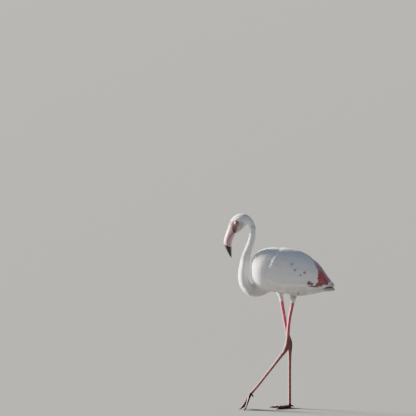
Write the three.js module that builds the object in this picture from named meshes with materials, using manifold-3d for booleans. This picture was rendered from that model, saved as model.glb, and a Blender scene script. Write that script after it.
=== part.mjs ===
// Greater flamingo, walking, as one life-size still figure. Millimetres, +Z up.
// The bird faces -X and its left side is toward -Y. The floor is z = 0.
// The origin is the centre of the right foot's sole pad, just in front of the upright leg.
import * as THREE from 'three';
import { mergeVertices } from 'three/addons/utils/BufferGeometryUtils.js';
import Module from 'manifold-3d';

const wasm = await Module();
wasm.setup();

// Driving dimensions. Every y below is measured from the bird's own mid-plane.
const GAP = 0.3;                 // clear space between neighbouring solids
const FOOT_FROM_MIDPLANE = 7;    // the right foot stands this far from the mid-plane
const WING_SPLIT = 1;            // space between the two folded wings along the back
const EYE_RADIUS = 7.5;
const EYE = [-232.5, 17.0, 814];
const MOUTH_GAP = 0.4;           // the closed bill's line, upper to lower
const BLACK_TIP_FROM = 5.75;     // row of the bill where the black tip starts
const MIDDLE_TOE = 80;
const OUTER_TOE = 71;
const INNER_TOE = 62;
const SOLE_PAD_AHEAD = 20;       // the sole pad's centre is this far in front of the right leg
const ABOVE = 730;               // a height over the whole back
const BEHIND = 210;              // a length past the tail
const WING_OUT = 120;            // a width past the wings
const BODY_FULLNESS = 1.08;      // how much squarer than an ellipse the body's sections are
const UPPER_BILL_SHARE = 0.93;   // width of the upper mandible, as a share of the lower one's

// Steps along and sides round the plain solids.
const FACETS = {
  trunk: [20, 22], wings: [15, 22], tail: [6, 14], neck: [6, 14], head: [13, 18], ball: [12, 8],
  thigh: [6, 12], shin: [5, 10], ankle: [6, 10], tarsus: [6, 10], hallux: [3, 6], toe: [5, 8],
  claw: [3, 6],
};

// Trunk under the folded wings: [x, top, bottom, half width].
const TRUNK = [
  [-168, 612, 604, 8], [-165, 652, 566, 34], [-157, 671, 549, 48], [-143, 683, 536, 59],
  [-122, 695, 524, 67], [-95, 703, 516, 71], [-61, 705, 510, 73], [-25, 700, 504, 73],
  [12, 692, 498, 71], [44, 683, 494, 67], [68, 670, 496, 61], [93, 652, 501, 53],
  [120, 622, 507, 42], [142, 590, 513, 30], [156, 563, 519, 17], [161, 547, 526, 8],
];

// Outer surface of the folded wings: [x, top, bottom, half width].
const WINGS = [
  [-128, 668, 560, 55], [-98, 697, 520, 70], [-61, 704, 500, 79], [-25, 704, 490, 84],
  [12, 698, 488, 85], [44, 690, 488, 83], [68, 678, 490, 79], [93, 663, 494, 72],
  [120, 639, 500, 61], [142, 612, 506, 49], [159, 584, 510, 38], [174, 565, 514, 29],
  [184, 551, 518, 19], [188, 541, 524, 10],
];

// Edges of the wing's feather groups, seen from the side: [x, z].
const WING_FRONT = [[-26, 712], [-60, 680], [-92, 643], [-121, 606]];
const WING_LOWER = [[-121, 606], [-98, 575], [-60, 556], [0, 548], [60, 549], [98, 554]];
const COVERT_REAR = [[98, 554], [108, 570], [109, 598], [100, 634], [80, 668], [62, 704]];
const CRIMSON_REAR = [[161, 554], [145, 583], [128, 609], [113, 631], [93, 658], [76, 690]];
const CRIMSON_BOTTOM = 554;
const PRIMARY_BAND = [[72, 538], [200, 538], [200, 553.6], [100, 553.4], [72, 547]];

// Tail: [x, top, bottom, half width].
const TAIL = [
  [122, 528, 514, 22], [142, 534, 512, 30], [164, 535, 514, 34], [182, 532.5, 517, 32],
  [194, 528, 520, 25],
];

// Neck, from inside the breast up to the nape: [x, z, half depth, half width].
const NECK = [
  [-92, 552, 37, 38], [-124, 526, 32, 32], [-159.5, 518.4, 28, 28], [-187, 534, 25.5, 25.5],
  [-198.2, 560, 23.6, 23.6], [-202, 586, 22.4, 22.4], [-199, 616.6, 21, 21],
  [-193, 651.3, 19.6, 19.4], [-183.6, 686, 17.4, 17], [-171, 718.6, 15.8, 15.2],
  [-163, 751, 14.6, 14], [-160.4, 779, 12.8, 12.6], [-163.6, 800, 12.6, 12.6],
];
const NECK_CUTS = [0, 3.5, 6.5, 9.5, 12];

// Head, nape to bill base: [upper edge x, z, lower edge x, z, half width].
const HEAD = [
  [-151.2, 802.3, -176.1, 798.5, 12.6], [-157.4, 817.5, -178, 801.6, 13.2],
  [-167.3, 833, -183.6, 804.5, 15.5],
  [-181, 845, -188.8, 801.5, 18.5], [-198, 851.5, -194.8, 795.5, 20.5],
  [-217, 852, -201.7, 787.5, 21.5], [-234, 846.5, -210.3, 779, 21.5],
  [-248.6, 834.5, -219.7, 771.6, 20.5], [-258.2, 821.5, -229.2, 765, 18.5],
  [-262.7, 809.3, -238.6, 759, 16.5],
];

// Bill, base to tip: [ridge x, z, keel x, z, place of the mouth line, half width].
const BILL = [
  [-262.9, 808.7, -238.9, 758.5, 0.78, 15.8], [-267.5, 792, -240.8, 750.3, 0.68, 15.5],
  [-274.3, 772.9, -243.8, 742, 0.55, 15], [-279.9, 755.5, -246.8, 732.1, 0.43, 14.8],
  [-284.7, 739.4, -248.5, 722.1, 0.39, 14.6], [-285.9, 728.2, -249.8, 713, 0.41, 14.2],
  [-284.7, 718.5, -250.4, 704.6, 0.45, 13.6], [-280.2, 705.3, -251.1, 695.4, 0.49, 12.4],
  [-274.1, 692, -251.1, 686, 0.53, 10.6], [-267.3, 679.2, -250.9, 676.6, 0.58, 8.2],
  [-260.4, 667.8, -250.9, 667.6, 0.62, 5.2], [-255, 661.6, -252, 662, 0.65, 2.2],
];

// Legs, thigh to toe joint: [x, y, z, half depth, half width]. y is away from the mid-plane.
const LEFT_THIGH = [
  [19, 31, 552, 30, 27], [16, 29, 525, 25, 22], [13, 26, 497, 15.5, 14], [11, 24, 470, 9.6, 8.8],
];
const RIGHT_THIGH = [
  [-48, 31, 552, 28, 26], [-46, 29, 524, 23, 21], [-42, 26, 498, 13.6, 12.6], [-36.8, 24, 480, 10, 9],
];
const LEFT_LEG = [
  [11, 24, 469.6, 8.6, 7.4], [6.9, 22.4, 447, 8.4, 6.9], [0.4, 20.2, 414, 8, 6.4],
  [-4, 18.2, 384, 7.6, 6.2], [-7.2, 16.2, 351, 7.6, 6.2], [-8.6, 14.9, 321, 8.2, 6.8],
  [-9.4, 14.3, 299, 10.8, 9.2], [-11.4, 14, 279, 13.2, 11], [-21, 13.8, 258.8, 11.6, 9],
  [-36.6, 13.5, 237.5, 8.8, 7], [-63.6, 13, 199, 7.3, 5.7], [-98, 12.4, 155.5, 7, 5.4],
  [-130, 11.8, 113, 7, 5.4], [-151, 11.4, 88, 7.4, 6.1], [-166, 11, 70, 7.5, 6.9],
];
const RIGHT_LEG = [
  [-36.8, 24, 479.6, 9, 7.8], [-33.5, 22, 450, 8.8, 7.2], [-25.4, 19.4, 409, 8.2, 6.6],
  [-18.5, 17, 365.6, 7.8, 6.4], [-10.8, 15.2, 327, 8.2, 6.6], [-5, 14.4, 305, 10.8, 8.9],
  [-1.5, 14, 285, 13.6, 11], [0, 13.4, 262, 11.4, 9], [0, 12.6, 240, 8.8, 7],
  [0, 11, 192, 7.2, 5.7], [0, 9.2, 127, 7, 5.4], [0, 7.8, 62, 7, 5.6], [0, 7.2, 34, 7.3, 6.3],
  [0, 7, 13, 7.4, 6.9],
];
const ANKLE_ROWS = { left: [5.3, 8.6], right: [4.4, 7.6] };

// Feet: the toe joint, the way the middle toe points (degrees outward), the spread of the outer
// toes, the share of a toe's length that it reaches forward, how it bends down to the floor, and
// the small hind toe. y is away from the mid-plane.
const LEFT_FOOT = {
  joint: [-170, 11, 65], outward: 20, spread: 32, reach: 0.58, bend: [[0.42, 0.6], [0.7, 0.1]],
  hallux: [[-167, 11, 63, 4, 4], [-160.5, 10, 58.5, 3.6, 3.5], [-158, 9.5, 51, 2.8, 2.7]],
};
const RIGHT_FOOT = {
  joint: [0, 7, 8], outward: 3, spread: 35, reach: 1, bend: [[0.3, 0.25], [0.65, 0]],
  hallux: [[3, 7, 11, 4, 4], [11, 6.5, 10.5, 3.6, 3.5], [18.5, 6, 6.6, 2.8, 2.7]],
};
const JOINT_RADIUS = 7.9;
const TOE_START = { height: 8.6, width: 5.6 };    // half sizes at the toe joint
const TOE_END = { height: 3.8, width: 3.5, centre: 3.4 };
const WEB = { from: 0.1, to: 0.86, hollow: 0.18, thick: 2, clear: 0.3, facets: [4, 3] };
const CLAW = { length: 9, centre: [2.7, 0.9], height: [2.9, 0.9], width: [2.9, 0.8] };

// Colours of the plain solids.
const WHITE = 0xf0ebe8;
const CRIMSON = 0xc8475a;
const PINK = 0xd88a9a;
const BLACK = 0x201c20;
const TAN = 0xd8c8bc;
const CLAW_GREY = 0x3a2c30;
const EYE_YELLOW = 0xd8c060;

const bird = new THREE.Group();
bird.position.set(SOLE_PAD_AHEAD, -FOOT_FROM_MIDPLANE, 0);

// The row at a fractional place in a list of rows, on a smooth curve through them.
function rowAt(rows, place) {
  const last = rows.length - 1;
  const i = Math.min(Math.floor(place), last - 1);
  const t = place - i;
  const before = rows[Math.max(i - 1, 0)];
  const after = rows[Math.min(i + 2, last)];
  return rows[i].map((start, k) => {
    const end = rows[i + 1][k];
    const startSlope = (end - before[k]) / (i > 0 ? 2 : 1);
    const endSlope = (after[k] - start) / (i + 2 <= last ? 2 : 1);
    const rise = end - start;
    const cubic = startSlope + endSlope - 2 * rise;
    const square = 3 * rise - 2 * startSlope - endSlope;
    return start + t * (startSlope + t * (square + t * cubic));
  });
}

// Places from one row to another in even steps.
function places(from, to, steps) {
  return Array.from({ length: steps + 1 }, (_, i) => from + ((to - from) * i) / steps);
}

// A closed solid through a list of rings of points, with a flat fan at each end.
function loft(rings) {
  const around = rings[0].length;
  const points = rings.flat();
  const faces = [];
  for (let r = 0; r < rings.length - 1; r += 1) {
    for (let a = 0; a < around; a += 1) {
      const b = (a + 1) % around;
      const here = r * around;
      const next = here + around;
      faces.push(here + a, here + b, next + b, here + a, next + b, next + a);
    }
  }
  const ends = [[0, true], [rings.length - 1, false]];
  for (const [r, first] of ends) {
    const centre = rings[r].reduce((sum, p) => sum.add(p), new THREE.Vector3()).divideScalar(around);
    points.push(centre);
    for (let a = 0; a < around; a += 1) {
      const pair = [r * around + a, r * around + ((a + 1) % around)];
      faces.push(points.length - 1, ...(first ? pair.reverse() : pair));
    }
  }
  const geometry = new THREE.BufferGeometry();
  const numbers = points.flatMap((p) => p.toArray());
  geometry.setAttribute('position', new THREE.Float32BufferAttribute(numbers, 3));
  geometry.setIndex(faces);
  return volumeOf(geometry) < 0 ? turnedOut(geometry) : geometry;
}

// Volume inside a closed triangle mesh, negative when its faces point in.
function volumeOf(geometry) {
  const { position } = geometry.attributes;
  const corner = (i) => new THREE.Vector3().fromBufferAttribute(position, geometry.index.getX(i));
  let six = 0;
  for (let i = 0; i < geometry.index.count; i += 3) {
    six += corner(i).dot(corner(i + 1).cross(corner(i + 2)));
  }
  return six / 6;
}

// The same mesh with every face turned over.
function turnedOut(geometry) {
  const turned = [];
  for (let i = 0; i < geometry.index.count; i += 3) {
    turned.push(geometry.index.getX(i), geometry.index.getX(i + 2), geometry.index.getX(i + 1));
  }
  geometry.setIndex(turned);
  return geometry;
}

// The other side's copy of a left-hand or right-hand geometry.
function mirrored(geometry) {
  return turnedOut(geometry.clone().scale(1, -1, 1));
}

function solidOf(geometry) {
  const bare = geometry.clone();
  bare.deleteAttribute('normal');
  bare.deleteAttribute('uv');
  const merged = mergeVertices(bare, 1e-4);
  const triVerts = new Uint32Array(merged.index.array);
  const vertProperties = new Float32Array(merged.attributes.position.array);
  return new wasm.Manifold(new wasm.Mesh({ numProp: 3, vertProperties, triVerts }));
}

function geometryOf(solid) {
  const mesh = solid.getMesh();
  const geometry = new THREE.BufferGeometry();
  geometry.setAttribute('position', new THREE.BufferAttribute(new Float32Array(mesh.vertProperties), 3));
  geometry.setIndex(Array.from(mesh.triVerts));
  return geometry;
}

function joined(...geometries) {
  return geometryOf(geometries.map(solidOf).reduce((a, b) => a.add(b)));
}

function cut(geometry, ...tools) {
  return geometryOf(tools.map(solidOf).reduce((a, b) => a.subtract(b), solidOf(geometry)));
}

function common(geometry, ...tools) {
  return geometryOf(tools.map(solidOf).reduce((a, b) => a.intersect(b), solidOf(geometry)));
}

// A ring between an upper and a lower edge point on the mid-plane, squarer than an ellipse
// when fullness > 1.
function ovalRing(upper, lower, halfWidth, sides, fullness = 1) {
  const centre = upper.clone().add(lower).multiplyScalar(0.5);
  const up = upper.clone().sub(lower).multiplyScalar(0.5);
  return Array.from({ length: sides }, (_, i) => {
    const angle = (2 * Math.PI * i) / sides;
    const rise = Math.sign(Math.sin(angle)) * Math.abs(Math.sin(angle)) ** (1 / fullness);
    const across = Math.sign(Math.cos(angle)) * Math.abs(Math.cos(angle)) ** (1 / fullness);
    return centre.clone().addScaledVector(up, rise).setY(centre.y + halfWidth * across);
  });
}

// A body shape through rows of [x, top, bottom, half width], grown outward by a margin.
function bodyShape(rows, [steps, sides], margin = 0) {
  const last = rows.length - 1;
  return loft(places(0, last, steps).map((place) => {
    const [x, top, bottom, halfWidth] = rowAt(rows, place);
    const along = x + margin * ((2 * place) / last - 1);
    const upper = new THREE.Vector3(along, 0, top + margin);
    const lower = new THREE.Vector3(along, 0, bottom - margin);
    return ovalRing(upper, lower, halfWidth + margin, sides, BODY_FULLNESS);
  }));
}

// A straight-sided block with the side view outline [x, z], reaching from y = from to y = to.
function sideBlock(outline, from, to) {
  const shape = new THREE.Shape(outline.map(([x, z]) => new THREE.Vector2(x, z)));
  const block = new THREE.ExtrudeGeometry(shape, { depth: to - from, bevelEnabled: false });
  return block.rotateX(Math.PI / 2).translate(0, to, 0);
}

// Points of a smooth open line through [x, z] pairs.
function smoothLine(pairs, steps) {
  return places(0, pairs.length - 1, steps).map((place) => rowAt(pairs, place));
}

// A round limb through rows of [x, y, z, half depth, half width]: depth is across it in side view.
// It is made between two places in the rows, and each cut end keeps half of the gap.
function limb(rows, from, to, [steps, sides], margin = 0) {
  const at = (place) => new THREE.Vector3(...rowAt(rows, place));
  const last = rows.length - 1;
  const small = 0.01;
  const ahead = (place) => {
    const low = Math.max(place - small, 0);
    const high = Math.min(place + small, last);
    return at(high).sub(at(low)).divideScalar(high - low);
  };
  const startShift = (from > 0 ? GAP / 2 : 0) / ahead(from).length();
  const endShift = (to < last ? GAP / 2 : 0) / ahead(to).length();
  return loft(places(from + startShift, to - endShift, steps).map((place) => {
    const centre = at(place);
    const [, , , depth, width] = rowAt(rows, place);
    const way = ahead(place);
    const across = new THREE.Vector3(-way.z, 0, way.x).normalize().multiplyScalar(depth + margin);
    const upper = centre.clone().add(across);
    const lower = centre.clone().sub(across);
    return ovalRing(upper, lower, width + margin, sides);
  }));
}

function ball(x, y, z, radius) {
  return new THREE.SphereGeometry(radius, ...FACETS.ball).translate(x, y, z);
}

function addPart(name, geometry, colour, roughness) {
  const material = new THREE.MeshStandardMaterial({ color: colour, roughness, metalness: 0 });
  const part = new THREE.Mesh(geometry, material);
  part.name = name;
  bird.add(part);
}

// Trunk: the feathered body without wings, from the breast's front to the rump.
const trunk = bodyShape(TRUNK, FACETS.trunk);
const trunkRoom = bodyShape(TRUNK, FACETS.trunk, GAP);
addPart('trunk', trunk, WHITE, 0.9);

// Folded wings: a shell over each side of the trunk, divided into its feather groups.
const SIDE_SHIFT = 1.25 * GAP;     // the gap along x between two sloping edges
const shell = cut(bodyShape(WINGS, FACETS.wings), trunkRoom);
const covertRear = smoothLine(COVERT_REAR, 9);
const crimsonRear = smoothLine(CRIMSON_REAR, 8);
const [frontTop] = WING_FRONT;
const [rearTop] = COVERT_REAR.slice(-1);
const [plumeTop] = CRIMSON_REAR.slice(-1);
const wingGroups = [
  ['wing', WHITE, [
    ...smoothLine(WING_LOWER, 8), ...covertRear.slice(1), [rearTop[0], ABOVE], [frontTop[0], ABOVE],
    ...smoothLine(WING_FRONT, 5).slice(0, -1),
  ]],
  ['wing_coverts', CRIMSON, [
    ...crimsonRear.map(([x, z]) => [x - SIDE_SHIFT, z]),
    ...covertRear.map(([x, z]) => [x + SIDE_SHIFT, z]).reverse(),
  ]],
  ['wing_plumes', WHITE, [...crimsonRear, [plumeTop[0], ABOVE], [BEHIND, ABOVE], [BEHIND, CRIMSON_BOTTOM]]],
  ['primaries', BLACK, PRIMARY_BAND],
];
for (const [name, colour, outline] of wingGroups) {
  const left = common(shell, sideBlock(outline, -WING_OUT, -WING_SPLIT / 2));
  addPart(`${name}_left`, left, colour, 0.85);
  addPart(`${name}_right`, mirrored(left), colour, 0.85);
}

// Tail: a short fan under the wing tips.
addPart('tail', cut(bodyShape(TAIL, FACETS.tail), trunkRoom), TAN, 0.85);

// Neck: four lengths of one smooth S, all on the mid-plane.
const neckRows = NECK.map(([x, z, depth, width]) => [x, 0, z, depth, width]);
const neckNames = ['neck_base', 'neck_lower', 'neck_middle', 'neck_upper'];
neckNames.forEach((name, i) => {
  const length = limb(neckRows, NECK_CUTS[i], NECK_CUTS[i + 1], FACETS.neck);
  addPart(name, i === 0 ? cut(length, trunkRoom) : length, WHITE, 0.9);
});

// Head, with a socket for each eye.
const [headSteps, headSides] = FACETS.head;
const headRings = places(0, HEAD.length - 1, headSteps).map((place) => {
  const [x, z, lowX, lowZ, halfWidth] = rowAt(HEAD, place);
  const upper = new THREE.Vector3(x, 0, z);
  return ovalRing(upper, new THREE.Vector3(lowX, 0, lowZ), halfWidth, headSides);
});
const [eyeX, eyeOut, eyeZ] = EYE;
const sockets = [-1, 1].map((side) => ball(eyeX, side * eyeOut, eyeZ, EYE_RADIUS + GAP));
addPart('head', cut(loft(headRings), ...sockets), WHITE, 0.9);
addPart('eye_left', ball(eyeX, -eyeOut, eyeZ, EYE_RADIUS), EYE_YELLOW, 0.2);
addPart('eye_right', ball(eyeX, eyeOut, eyeZ, EYE_RADIUS), EYE_YELLOW, 0.2);

// Bill: a narrow upper mandible over a deep lower one, both bent down at mid-length.
const BILL_STEPS = 6;
const BILL_SIDES = 7;
const BILL_ROW_STEP = 12;         // about the distance between rows of the bill
const tipShift = GAP / 2 / BILL_ROW_STEP;
const billLengths = [
  ['bill', PINK, places(0, BLACK_TIP_FROM - tipShift, BILL_STEPS)],
  ['bill_tip', BLACK, places(BLACK_TIP_FROM + tipShift, BILL.length - 1, BILL_STEPS)],
];
const billHalves = [
  ['upper', -1, UPPER_BILL_SHARE],
  ['lower', 1, 1],
];

// Half an oval, from the mouth line to the ridge or the keel, closed by a flat face along the mouth.
function billRing(place, down, widthShare) {
  const [x, z, lowX, lowZ, mouth, halfWidth] = rowAt(BILL, place);
  const ridge = new THREE.Vector3(x, 0, z);
  const keel = new THREE.Vector3(lowX, 0, lowZ);
  const depth = ridge.distanceTo(keel);
  const line = ridge.clone().lerp(keel, mouth + (down * MOUTH_GAP) / 2 / depth);
  const edge = (down > 0 ? keel : ridge).sub(line);
  return places(0, Math.PI, BILL_SIDES).map((angle) => (
    line.clone().addScaledVector(edge, Math.sin(angle)).setY(halfWidth * widthShare * Math.cos(angle))
  ));
}
for (const [length, colour, along] of billLengths) {
  for (const [half, down, widthShare] of billHalves) {
    const rings = along.map((place) => billRing(place, down, widthShare));
    addPart(`${length}_${half}`, loft(rings), colour, 0.45);
  }
}

// A toe's middle line, in an upright plane turned outward by an angle in degrees.
function toeLine(foot, side, length, turn) {
  const [x, out, height] = foot.joint;
  const angle = THREE.MathUtils.degToRad(turn);
  const point = (share, z) => new THREE.Vector3(
    x - Math.cos(angle) * length * foot.reach * share,
    side * (out + Math.sin(angle) * length * foot.reach * share),
    z,
  );
  const drop = height - TOE_END.centre;
  const [early, late] = foot.bend.map(([share, rise]) => point(share, TOE_END.centre + drop * rise));
  return new THREE.CubicBezierCurve3(point(0, height), early, late, point(1, TOE_END.centre));
}

// A toe's centre, its half sizes and its own directions at a share of its length.
function toeAt(line, share) {
  const way = line.getTangent(share);
  const across = new THREE.Vector3(-way.y, way.x, 0).normalize();
  const up = across.clone().cross(way).multiplyScalar(-1).normalize();
  up.multiplyScalar(Math.sign(up.z) || 1);
  const height = TOE_END.height + (TOE_START.height - TOE_END.height) * (1 - share) ** 2;
  const width = TOE_END.width + (TOE_START.width - TOE_END.width) * (1 - share) ** 2;
  return { centre: line.getPoint(share), across, up, height, width };
}

// A ring round a toe, flattened where it meets the floor.
function toeRing({ centre, across, up, height, width }, sides) {
  return Array.from({ length: sides }, (_, i) => {
    const angle = (2 * Math.PI * (i + 0.5)) / sides;
    const point = centre.clone().addScaledVector(across, width * Math.cos(angle));
    point.addScaledVector(up, height * Math.sin(angle));
    return point.setZ(Math.max(point.z, 0));
  });
}

// The skin between two toes, with a hollow front edge.
function web(lineA, lineB) {
  const [webSteps, webSpans] = WEB.facets;
  const spans = places(0, 1, webSpans);
  const rings = places(WEB.from, WEB.to, webSteps).map((reach) => {
    const skin = (span, face) => {
      const share = reach * (1 - 4 * WEB.hollow * span * (1 - span));
      const sole = (line) => {
        const toe = toeAt(line, share);
        return toe.centre.addScaledVector(toe.up, WEB.thick / 2 + WEB.clear - toe.height);
      };
      const up = toeAt(lineA, share).up.add(toeAt(lineB, share).up).normalize();
      const point = sole(lineA).lerp(sole(lineB), span).addScaledVector(up, (face * WEB.thick) / 2);
      return point.setZ(Math.max(point.z, 0));
    };
    return [...spans.map((span) => skin(span, 1)), ...spans.toReversed().map((span) => skin(span, -1))];
  });
  return loft(rings);
}

// A claw, in front of a toe's flat end and lying on the floor.
function toeClaw(line) {
  const way = line.getTangent(1);
  const end = toeAt(line, 1);
  const [steps, sides] = FACETS.claw;
  const rings = places(0, 1, steps).map((share) => {
    const [z, height, width] = [CLAW.centre, CLAW.height, CLAW.width].map(
      ([root, tip]) => root + (tip - root) * share,
    );
    const centre = end.centre.clone().addScaledVector(way, GAP + CLAW.length * share).setZ(z);
    return toeRing({ ...end, centre, height, width }, sides);
  });
  return loft(rings);
}

// Legs: thigh, bare shin, ankle, tarsus, webbed foot and claws.
const legs = [
  ['left', -1, LEFT_THIGH, LEFT_LEG, LEFT_FOOT],
  ['right', 1, RIGHT_THIGH, RIGHT_LEG, RIGHT_FOOT],
];
for (const [name, side, thighRows, legRows, foot] of legs) {
  const onSide = (rows) => rows.map(([x, y, z, depth, width]) => [x, side * y, z, depth, width]);
  const leg = onSide(legRows);
  const legEnd = leg.length - 1;
  const [ankleFrom, ankleTo] = ANKLE_ROWS[name];
  const thigh = onSide(thighRows);
  const thighEnd = thigh.length - 1;
  const thighRoom = limb(thigh, 0, thighEnd, FACETS.thigh, GAP);
  addPart(`thigh_${name}`, cut(limb(thigh, 0, thighEnd, FACETS.thigh), trunkRoom), WHITE, 0.9);
  addPart(`shin_${name}`, cut(limb(leg, 0, ankleFrom, FACETS.shin), thighRoom), PINK, 0.6);
  addPart(`ankle_${name}`, limb(leg, ankleFrom, ankleTo, FACETS.ankle), PINK, 0.6);
  addPart(`tarsus_${name}`, limb(leg, ankleTo, legEnd, FACETS.tarsus), PINK, 0.6);

  const toeSet = [
    ['inner', INNER_TOE, foot.outward - foot.spread],
    ['middle', MIDDLE_TOE, foot.outward],
    ['outer', OUTER_TOE, foot.outward + foot.spread],
  ];
  const lines = toeSet.map(([, length, turn]) => toeLine(foot, side, length, turn));
  const [toeSteps, toeSides] = FACETS.toe;
  const toes = lines.map((line) => (
    loft(places(0, 1, toeSteps).map((share) => toeRing(toeAt(line, share), toeSides)))
  ));
  const webs = [web(lines[0], lines[1]), web(lines[1], lines[2])];
  const halluxRows = onSide(foot.hallux);
  const hallux = limb(halluxRows, 0, halluxRows.length - 1, FACETS.hallux);
  const [jointX, jointOut, jointZ] = foot.joint;
  const joint = ball(jointX, side * jointOut, jointZ, JOINT_RADIUS);
  const tarsusRoom = limb(leg, ankleTo, legEnd, FACETS.tarsus, GAP);
  addPart(`foot_${name}`, cut(joined(joint, ...toes, ...webs, hallux), tarsusRoom), PINK, 0.65);
  toeSet.forEach(([toe], i) => addPart(`claw_${toe}_${name}`, toeClaw(lines[i]), CLAW_GREY, 0.4));
}

export default bird;
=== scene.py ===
import contextlib
import math

import bpy
import numpy as np
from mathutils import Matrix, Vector, kdtree
from mathutils.bvhtree import BVHTree
from numpy.linalg import norm


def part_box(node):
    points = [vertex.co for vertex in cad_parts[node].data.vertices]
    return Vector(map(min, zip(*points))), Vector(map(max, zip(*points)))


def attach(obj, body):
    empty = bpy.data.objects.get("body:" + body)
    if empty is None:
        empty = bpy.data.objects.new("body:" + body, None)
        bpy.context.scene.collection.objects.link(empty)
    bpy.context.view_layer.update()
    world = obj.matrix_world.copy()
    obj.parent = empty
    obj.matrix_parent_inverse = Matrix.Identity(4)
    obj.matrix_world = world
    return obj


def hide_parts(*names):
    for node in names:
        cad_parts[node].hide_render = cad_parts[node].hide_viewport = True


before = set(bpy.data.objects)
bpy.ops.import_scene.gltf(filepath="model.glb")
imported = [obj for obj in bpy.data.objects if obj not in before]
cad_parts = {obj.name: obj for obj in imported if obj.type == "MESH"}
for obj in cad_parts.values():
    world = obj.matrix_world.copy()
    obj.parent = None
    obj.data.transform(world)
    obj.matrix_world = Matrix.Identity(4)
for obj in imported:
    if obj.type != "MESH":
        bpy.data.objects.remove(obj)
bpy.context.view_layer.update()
MM = 0.001


# The stand-point: a plain pale floor under a low warm lamp ahead of the bird, with a faint cool fill
# from the viewer's side and pale air, seen through a long lens far away.
FLOOR_SIDE = 90
FLOOR_COLOUR = (0.25, 0.25, 0.245, 1)
FLOOR_ROUGHNESS = 0.9
VIEW_TARGET = Vector((-0.334, -0.007, 0.877))
VIEW_ELEVATION = math.radians(8)
VIEW_DISTANCE = 14.0
VIEW_WIDTH = 1.789            # what the frame takes in at the bird, in metres
VIEW_END = 200
SENSOR = 36.0
LAMPS = [
    # name, kind, place, power, colour, and the sun's angle or the fill's width
    ("sun", "SUN", (-4.4, 1.45, 1.60), 29.0, (1.0, 0.95, 0.84), math.radians(16)),
    ("fill", "AREA", (2.2, -5.2, 2.6), 3.0, (0.55, 0.74, 1.0), 4.0),
]
LIT = Vector((0, 0, 0.55))    # what the lamps are turned to
AIR_COLOUR = (0.56, 0.72, 1.0, 1)
AIR_STRENGTH = 0.30

bpy.ops.object.select_all(action="DESELECT")
bpy.ops.mesh.primitive_plane_add(size=FLOOR_SIDE, location=(0, 0, 0))
floor = bpy.context.object
floor.name = "floor"
pale = bpy.data.materials.new("pale_floor")
pale.use_nodes = True
pale_sockets = pale.node_tree.nodes["Principled BSDF"].inputs
pale_sockets["Base Color"].default_value = FLOOR_COLOUR
pale_sockets["Roughness"].default_value = FLOOR_ROUGHNESS
floor.data.materials.append(pale)

aim = Vector((0, math.cos(VIEW_ELEVATION), -math.sin(VIEW_ELEVATION)))
bpy.ops.object.camera_add(location=VIEW_TARGET - VIEW_DISTANCE * aim)
camera = bpy.context.object
camera.rotation_euler = aim.to_track_quat("-Z", "Y").to_euler()
camera.data.sensor_width = SENSOR
camera.data.lens = SENSOR * VIEW_DISTANCE / VIEW_WIDTH
camera.data.clip_end = VIEW_END
bpy.context.scene.camera = camera

for name, kind, place, power, colour, size in LAMPS:
    bpy.ops.object.light_add(type=kind, location=place)
    lamp = bpy.context.object
    lamp.name = name
    lamp.data.energy, lamp.data.color = power, colour
    lamp.rotation_euler = (LIT - Vector(place)).to_track_quat("-Z", "Y").to_euler()
    setattr(lamp.data, "angle" if kind == "SUN" else "size", size)

world = bpy.data.worlds.new("studio_air")
bpy.context.scene.world = world
world.use_nodes = True
air = world.node_tree.nodes["Background"].inputs
air["Color"].default_value = AIR_COLOUR
air["Strength"].default_value = AIR_STRENGTH


# The skin of the body, neck and head: one closed surface under the plumage, the coat's depth
# inside the bird's outline. It is cast from the solids of the body, smoothed, and drawn in.
SIDES = {"left": -1, "right": 1}
PRIMARIES = [f"primaries_{side}" for side in SIDES]      # cast with the body, shown by their feathers
BODY_NODES = ["head", "trunk", "neck_base", "neck_lower", "neck_middle", "neck_upper"] + [
    f"{part}_{side}" for part in ("thigh", "wing", "wing_coverts", "wing_plumes") for side in SIDES
]
BODY_VOXEL = 3.1 * MM
CAST_GROWTH = 0.6 * MM         # closes the thin gaps between the solids
NECK_REACH = 1.45             # how many half depths from its middle line count as the neck
BODY_COAT = 8.5 * MM
THIGH_COAT = 5 * MM
NECK_COAT = 3.2 * MM
SOFTENED = 80                 # smoothings of the shelf over the flight feathers and of the neck's root
midplane = (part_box("trunk")[0].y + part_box("trunk")[1].y) / 2


def smoothstep(low, high, value):
    share = np.clip((value - low) / (high - low), 0, 1)
    return share * share * (3 - 2 * share)


def in_range(value, low, high, edge=14 * MM):
    """1 between low and high, fading to 0 a little way outside them."""
    return smoothstep(low - edge, low, value) * smoothstep(high + edge, high, value)


def apply_modifier(obj, kind, **settings):
    """Adds a modifier, sets it and applies it."""
    modifier = obj.modifiers.new(kind.lower(), kind)
    for key, value in settings.items():
        setattr(modifier, key, value)
    bpy.context.view_layer.objects.active = obj
    bpy.ops.object.modifier_apply(modifier=modifier.name)


def alone(*objects):
    """Selects these objects only, the first one active."""
    bpy.ops.object.select_all(action="DESELECT")
    for obj in objects:
        obj.select_set(True)
    bpy.context.view_layer.objects.active = objects[0]


@contextlib.contextmanager
def editing(obj, faces=None):
    """Edit mode with all of an object selected, or only these faces, then object mode again."""
    alone(obj)
    bpy.ops.object.mode_set(mode="EDIT")
    bpy.ops.mesh.select_all(action="SELECT")
    if faces is not None:
        bpy.ops.mesh.select_mode(type="FACE")
        bpy.ops.mesh.select_all(action="DESELECT")
        bpy.ops.object.mode_set(mode="OBJECT")
        obj.data.polygons.foreach_set("select", np.asarray(faces, dtype=bool))
        bpy.ops.object.mode_set(mode="EDIT")
    yield
    bpy.ops.object.mode_set(mode="OBJECT")


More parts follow.
